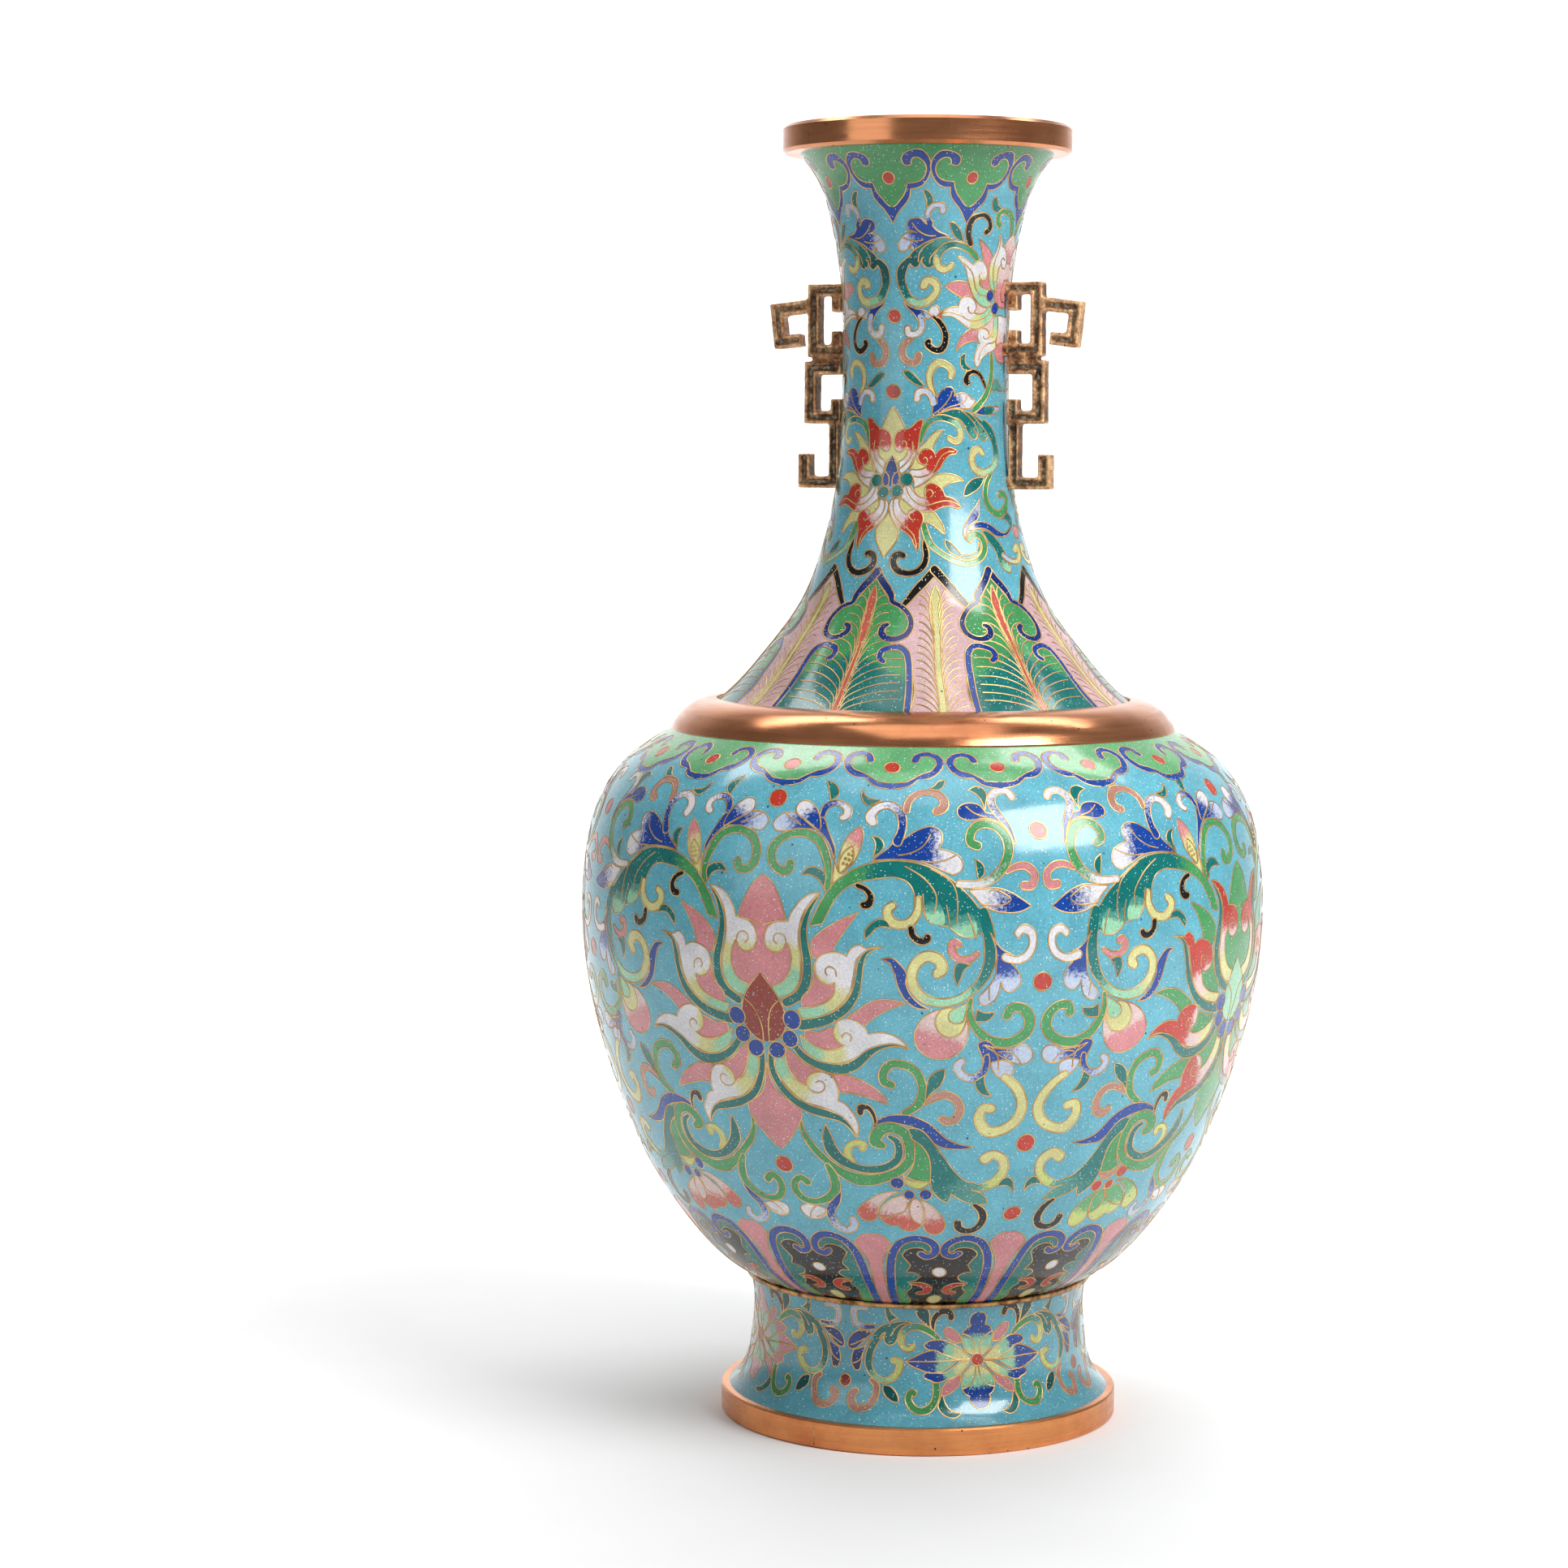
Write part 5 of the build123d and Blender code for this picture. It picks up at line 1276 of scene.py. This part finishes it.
def bronze_material():
    """Cast handle: dark patina with rubbed gilding, and greenish brown in the channels."""
    mat, tree, shader = material("handle_bronze", **{"Metallic": 0.7, "IOR": 1.5})
    worn = node(tree, "Attribute", attribute_name="worn").outputs["Fac"]
    deep = node(tree, "Attribute", attribute_name="deep").outputs["Fac"]
    mottled = ramp(tree, grain(tree, 420, 6.0, 0.7), (0.36, linear((44, 30, 22))),
                   (0.5, linear((140, 96, 64))), (0.64, linear((200, 152, 106))))
    gilt = ramp(tree, grain(tree, 420, 5.0, 0.7), (0.35, linear((168, 112, 72))),
                (0.62, linear((240, 196, 148))))
    rubbed = jittered(tree, worn, grain(tree, 700, 5.0, 0.7), 0.9)
    verdigris = ramp(tree, grain(tree, 900, 5.0, 0.7), (0.40, linear((26, 22, 18))),
                     (0.50, linear((84, 78, 64))), (0.62, linear((164, 168, 150))))
    base = blend(tree, ramp(tree, rubbed, (0.30, 0.0), (0.54, 1.0)), mottled, gilt)
    base = blend(tree, ramp(tree, deep, (0.3, 0.0), (0.9, 0.8)), base, verdigris)
    base = mottle(tree, base, 1500, 4.0, (0.32, 0.55), (0.68, 1.5), 0.7)
    base = blend(tree, specks(tree, 1150, 0.22, 0.2), base, linear((34, 26, 20)))
    base = blend(tree, specks(tree, 900, 0.2, 0.1), base, linear((150, 160, 140)))
    plug(tree, shader, base, ramp(tree, grain(tree, 420, 5.0), (0.3, 0.3), (0.7, 0.62)))
    bump(tree, shader, grain(tree, 760, 6.0, 0.75), 0.0002, 0.9)
    return mat


def lining_material():
    mat, tree, shader = material("lining_enamel", **{"IOR": 1.5, "Coat Weight": 0.2})
    base = ramp(tree, grain(tree, 90, 5.0), (0.3, linear((60, 128, 148))), (0.7, linear((104, 172, 188))))
    base = blend(tree, specks(tree, 500, 0.2, 0.3), base, linear((24, 40, 44)))
    plug(tree, shader, base, ramp(tree, grain(tree, 300, 3.0), (0.3, 0.25), (0.7, 0.45)))
    bump(tree, shader, grain(tree, 400, 4.0), 0.0001, 0.6)
    return mat


def floor_material():
    mat, tree, shader = material("floor_paint", **{"Roughness": 0.75})
    plug(tree, shader, ramp(tree, grain(tree, 9, 3.0), (0.3, 0.78), (0.7, 0.82)))
    return mat


# ---- handles ----
VOXEL = 0.00022  # the casting is rebuilt at this fineness, in metres
SOFT_ROUNDS, SOFT_SHARE = 3, 0.6  # how often and how far a vertex moves to its neighbours' middle
BROAD_ROUNDS = 10  # rounds of averaging that leave only the broad shape
LUMPS = ((700, 0.00005), (260, 0.00006))  # lumps to a metre, and their height
SHRINK = 0.00008  # keeps the lumps inside the CAD's handle
RIDGE = 0.00012  # a vertex this far outside the broad shape is on a worn edge
CHANNEL_START, CHANNEL_DEPTH = 0.00012, 0.00035  # below the handle's flat faces
OUTER_REACH = 0.004  # the outward sides are worn fully this far past the handle's middle
FACING = 0.6  # how nearly a surface has to face a way to count as facing it


def voxel_copy(name):
    """A new object with a CAD node's solid, remeshed evenly."""
    obj = bpy.data.objects.new(name + "_cast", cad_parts[name].data.copy())
    bpy.context.scene.collection.objects.link(obj)
    bpy.context.view_layer.objects.active = obj
    remesh = obj.modifiers.new("remesh", "REMESH")
    remesh.mode = "VOXEL"
    remesh.voxel_size = VOXEL
    graph = bpy.context.evaluated_depsgraph_get()
    mesh = bpy.data.meshes.new_from_object(obj.evaluated_get(graph))
    obj.modifiers.clear()
    obj.data = mesh
    return obj


def vertex_vectors(mesh, key):
    out = np.zeros(len(mesh.vertices) * 3)
    mesh.vertices.foreach_get(key, out)
    return out.reshape(-1, 3)


def averager(mesh):
    """A function that gives each vertex the mean of its neighbours' values."""
    edges = np.zeros(len(mesh.edges) * 2, int)
    mesh.edges.foreach_get("vertices", edges)
    edges = edges.reshape(-1, 2)
    degree = np.bincount(edges.ravel(), minlength=len(mesh.vertices))[:, None]

    def averaged(values):
        out = np.zeros_like(values)
        np.add.at(out, edges[:, 0], values[edges[:, 1]])
        np.add.at(out, edges[:, 1], values[edges[:, 0]])
        return out / degree

    return averaged


def handle_wear(soft, broad, normal, low, high):
    """How worn each vertex is, by ridges and outward sides, and how deep it lies in a channel."""
    convex = ((soft - broad) * normal).sum(axis=1) / RIDGE
    middle = abs(low.x + high.x) / 2
    outward = np.abs(normal[:, 0]) > FACING
    outer = np.clip((np.abs(soft[:, 0]) - middle) / OUTER_REACH, 0, 1) * outward
    worn = np.clip(0.12 + 0.42 * np.clip(convex, 0, 1.4) + 0.75 * outer, 0, 1)
    half = max(abs(low.y), abs(high.y))
    face = np.abs(normal[:, 1]) > FACING
    below = (half - CHANNEL_START - np.abs(soft[:, 1])) / CHANNEL_DEPTH
    return worn, np.where(face, np.clip(below, 0, 1), 0)


def cast_handle(name, mat):
    """The CAD handle remeshed as a casting: soft edges, slight lumps, worn high edges."""
    box_low, box_high = (Vector(c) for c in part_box(name))
    obj = voxel_copy(name)
    mesh = obj.data
    averaged = averager(mesh)
    soft = vertex_vectors(mesh, "co")
    for _ in range(SOFT_ROUNDS):
        soft = soft + SOFT_SHARE * (averaged(soft) - soft)
    broad = soft
    for _ in range(BROAD_ROUNDS):
        broad = averaged(broad)
    mesh.vertices.foreach_set("co", soft.ravel())
    mesh.update()
    normal = vertex_vectors(mesh, "normal")
    lump = sum(np.array([noise.noise(Vector(v) * scale) for v in soft]) * high for scale, high in LUMPS)
    out = soft + normal * (lump - SHRINK)[:, None]
    mesh.vertices.foreach_set("co", np.clip(out, np.array(box_low), np.array(box_high)).ravel())
    worn, deep = handle_wear(soft, broad, normal, box_low, box_high)
    mesh.attributes.new("worn", "FLOAT", "POINT").data.foreach_set("value", worn)
    mesh.attributes.new("deep", "FLOAT", "POINT").data.foreach_set("value", deep)
    mesh.polygons.foreach_set("use_smooth", np.ones(len(mesh.polygons), bool))
    mesh.materials.clear()
    mesh.materials.append(mat)
    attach(obj, "root")
    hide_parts(name)


def rim_seam(mat):
    """The soldered line across the foot rim, where its band was joined."""
    radius, width, low, high = 37.2, 0.3, 0.5, 4.4
    middle = math.radians(PHOTO_TURN - 33.6)
    verts = []
    for level in (low, high):
        for across, proud in ((-0.5, -0.01), (0, 0.02), (0.5, -0.01)):
            a = middle + across * width / radius
            r = radius + proud
            verts.append((r * math.sin(a) * MM, -r * math.cos(a) * MM, level * MM))
    make_mesh("rim_seam", np.array(verts), [(0, 1, 4, 3), (1, 2, 5, 4)], mat, ())


def dress(name, mat, bevel=0.0):
    """A procedural material, and softened edges, for a CAD node that stays in view."""
    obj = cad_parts[name]
    obj.data.materials.clear()
    obj.data.materials.append(mat)
    if bevel:
        mod = obj.modifiers.new("edge", "BEVEL")
        mod.width = bevel
        mod.segments = 3
        mod.limit_method = "ANGLE"
        mod.angle_limit = math.radians(40)


# ---- stage ----
def make_stage():
    """A pale floor that bends up into a backdrop behind the vase."""
    mesh = bpy.data.meshes.new("floor")
    size, back, top, bend, bend_steps = 3.0, 1.2, 2.4, 0.5, 12
    profile = [(-size, 0.0), (back - bend, 0.0)]
    for i in range(1, bend_steps + 1):
        a = math.pi / 2 * i / bend_steps
        profile.append((back - bend + bend * math.sin(a), bend - bend * math.cos(a)))
    profile.append((back, top))
    verts = [(x, y, z) for y, z in profile for x in (-size, size)]
    faces = [(2 * i, 2 * i + 1, 2 * i + 3, 2 * i + 2) for i in range(len(profile) - 1)]
    mesh.from_pydata(verts, [], faces)
    mesh.polygons.foreach_set("use_smooth", np.ones(len(faces), bool))
    floor = bpy.data.objects.new("floor", mesh)
    floor.rotation_euler.z = math.radians(PHOTO_TURN)
    bpy.context.scene.collection.objects.link(floor)
    mesh.materials.append(floor_material())


def make_light(name, energy, size, azimuth, elevation, distance, target):
    """A soft square light. Azimuth 0 is behind the camera, and 90 on its right."""
    data = bpy.data.lights.new(name, "AREA")
    data.energy, data.size = energy, size
    lamp = bpy.data.objects.new(name, data)
    a, e = math.radians(azimuth + PHOTO_TURN), math.radians(elevation)
    away = Vector((math.sin(a) * math.cos(e), -math.cos(a) * math.cos(e), math.sin(e)))
    lamp.location = target + distance * away
    lamp.rotation_euler = (target - lamp.location).to_track_quat("-Z", "Y").to_euler()
    bpy.context.scene.collection.objects.link(lamp)


def make_camera():
    """The camera, 0.7 m away. Its spot is (right, away, up) in metres before it turns with the vase."""
    data = bpy.data.cameras.new("camera")
    data.sensor_width, data.lens = 36.0, 85.6
    data.clip_start = 0.01
    cam = bpy.data.objects.new("camera", data)
    spot = Vector((-0.0403, -0.6949, 0.1791))
    yaw, pitch, roll = 0.0207, -0.0872, 0.0047  # radians
    aim = (Matrix.Rotation(-yaw, 4, "Z") @ Matrix.Rotation(math.pi / 2 + pitch, 4, "X")
           @ Matrix.Rotation(roll, 4, "Z"))
    turn = Matrix.Rotation(math.radians(PHOTO_TURN), 4, "Z")
    cam.matrix_world = turn @ Matrix.Translation(spot) @ aim
    bpy.context.scene.collection.objects.link(cam)
    bpy.context.scene.camera = cam


def make_world():
    world = bpy.data.worlds.new("studio")
    world.use_nodes = True
    sky = world.node_tree.nodes["Background"]
    sky.inputs["Color"].default_value = (0.98, 0.98, 0.96, 1)
    sky.inputs["Strength"].default_value = 0.17
    bpy.context.scene.world = world
    bpy.context.scene.view_settings.view_transform = "Standard"


# name, watts, size, azimuth, elevation and distance of each light on the vase
LIGHTS = (("key", 8.5, 0.48, 45, 38, 0.9), ("fill", 1.8, 0.7, -50, 20, 1.1), ("top", 2.4, 0.7, 10, 80, 1.0))


def make_lights():
    """Three lights on the vase's middle, and one on the floor and backdrop behind it."""
    middle = Vector((0, 0, 0.12))
    for name, energy, size, azimuth, elevation, distance in LIGHTS:
        make_light(name, energy, size, azimuth, elevation, distance, middle)
    away = math.radians(PHOTO_TURN)
    behind = Vector((-math.sin(away), math.cos(away), 0.1))
    make_light("backdrop", 10.0, 0.8, 0, 50, 0.9, behind)


def make_skins():
    """The patterned enamel and its wires, in sectors, on the body, the neck and the foot."""
    wire = wire_material()
    # The last number of each part scales its enamel's colour down: painted shade, a little on the neck and
    # more on the foot, in the body's shadow
    parts = (("body", draw_body(), 8, UNDER_RING, 1.0), ("neck", draw_neck(), 4, 0, 0.93),
             ("foot", draw_foot(), 3, 0, 0.74))
    for label, sheet, count, start, painted_shade_level in parts:
        enamel = enamel_material(label + "_glass", painted_shade_level)
        make_enamel(sheet, label + "_cells", count, enamel, [label + "_enamel"], COLOUR["ground"], start)
        make_wires(sheet, label + "_wires", count, wire, start)


def make_metal_and_linings():
    """Everything else on the vase: rims, rings, shells, linings and handles."""
    thin_gold = wire_ring_material()
    gilt = copper_material("polished_copper", (214, 144, 100), (190, 120, 82), (150, 92, 62), 0.18, 0.25)
    rim = copper_material("rim_copper", (228, 150, 92), (200, 120, 74), (140, 82, 50), 0.26, 0.6)
    shell = copper_material("bare_copper", (190, 120, 88), (120, 70, 50), (80, 60, 50), 0.5)
    lining = lining_material()
    dress("mouth_rim", gilt, 0.0008)
    dress("shoulder_ring", gilt, 0.0004)
    dress("foot_joint_ring", thin_gold)
    dress("foot_rim", rim, 0.0005)
    rim_seam(thin_gold)
    for name in ("neck_shell", "upper_body_shell", "lower_body_shell", "foot_shell"):
        dress(name, shell)
    for name in ("neck_lining", "body_lining", "foot_lining", "base_enamel"):
        dress(name, lining)
    bronze = bronze_material()
    for name in ("handle_left", "handle_right"):
        cast_handle(name, bronze)


make_world()
make_camera()
make_stage()
make_lights()
make_skins()
make_metal_and_linings()
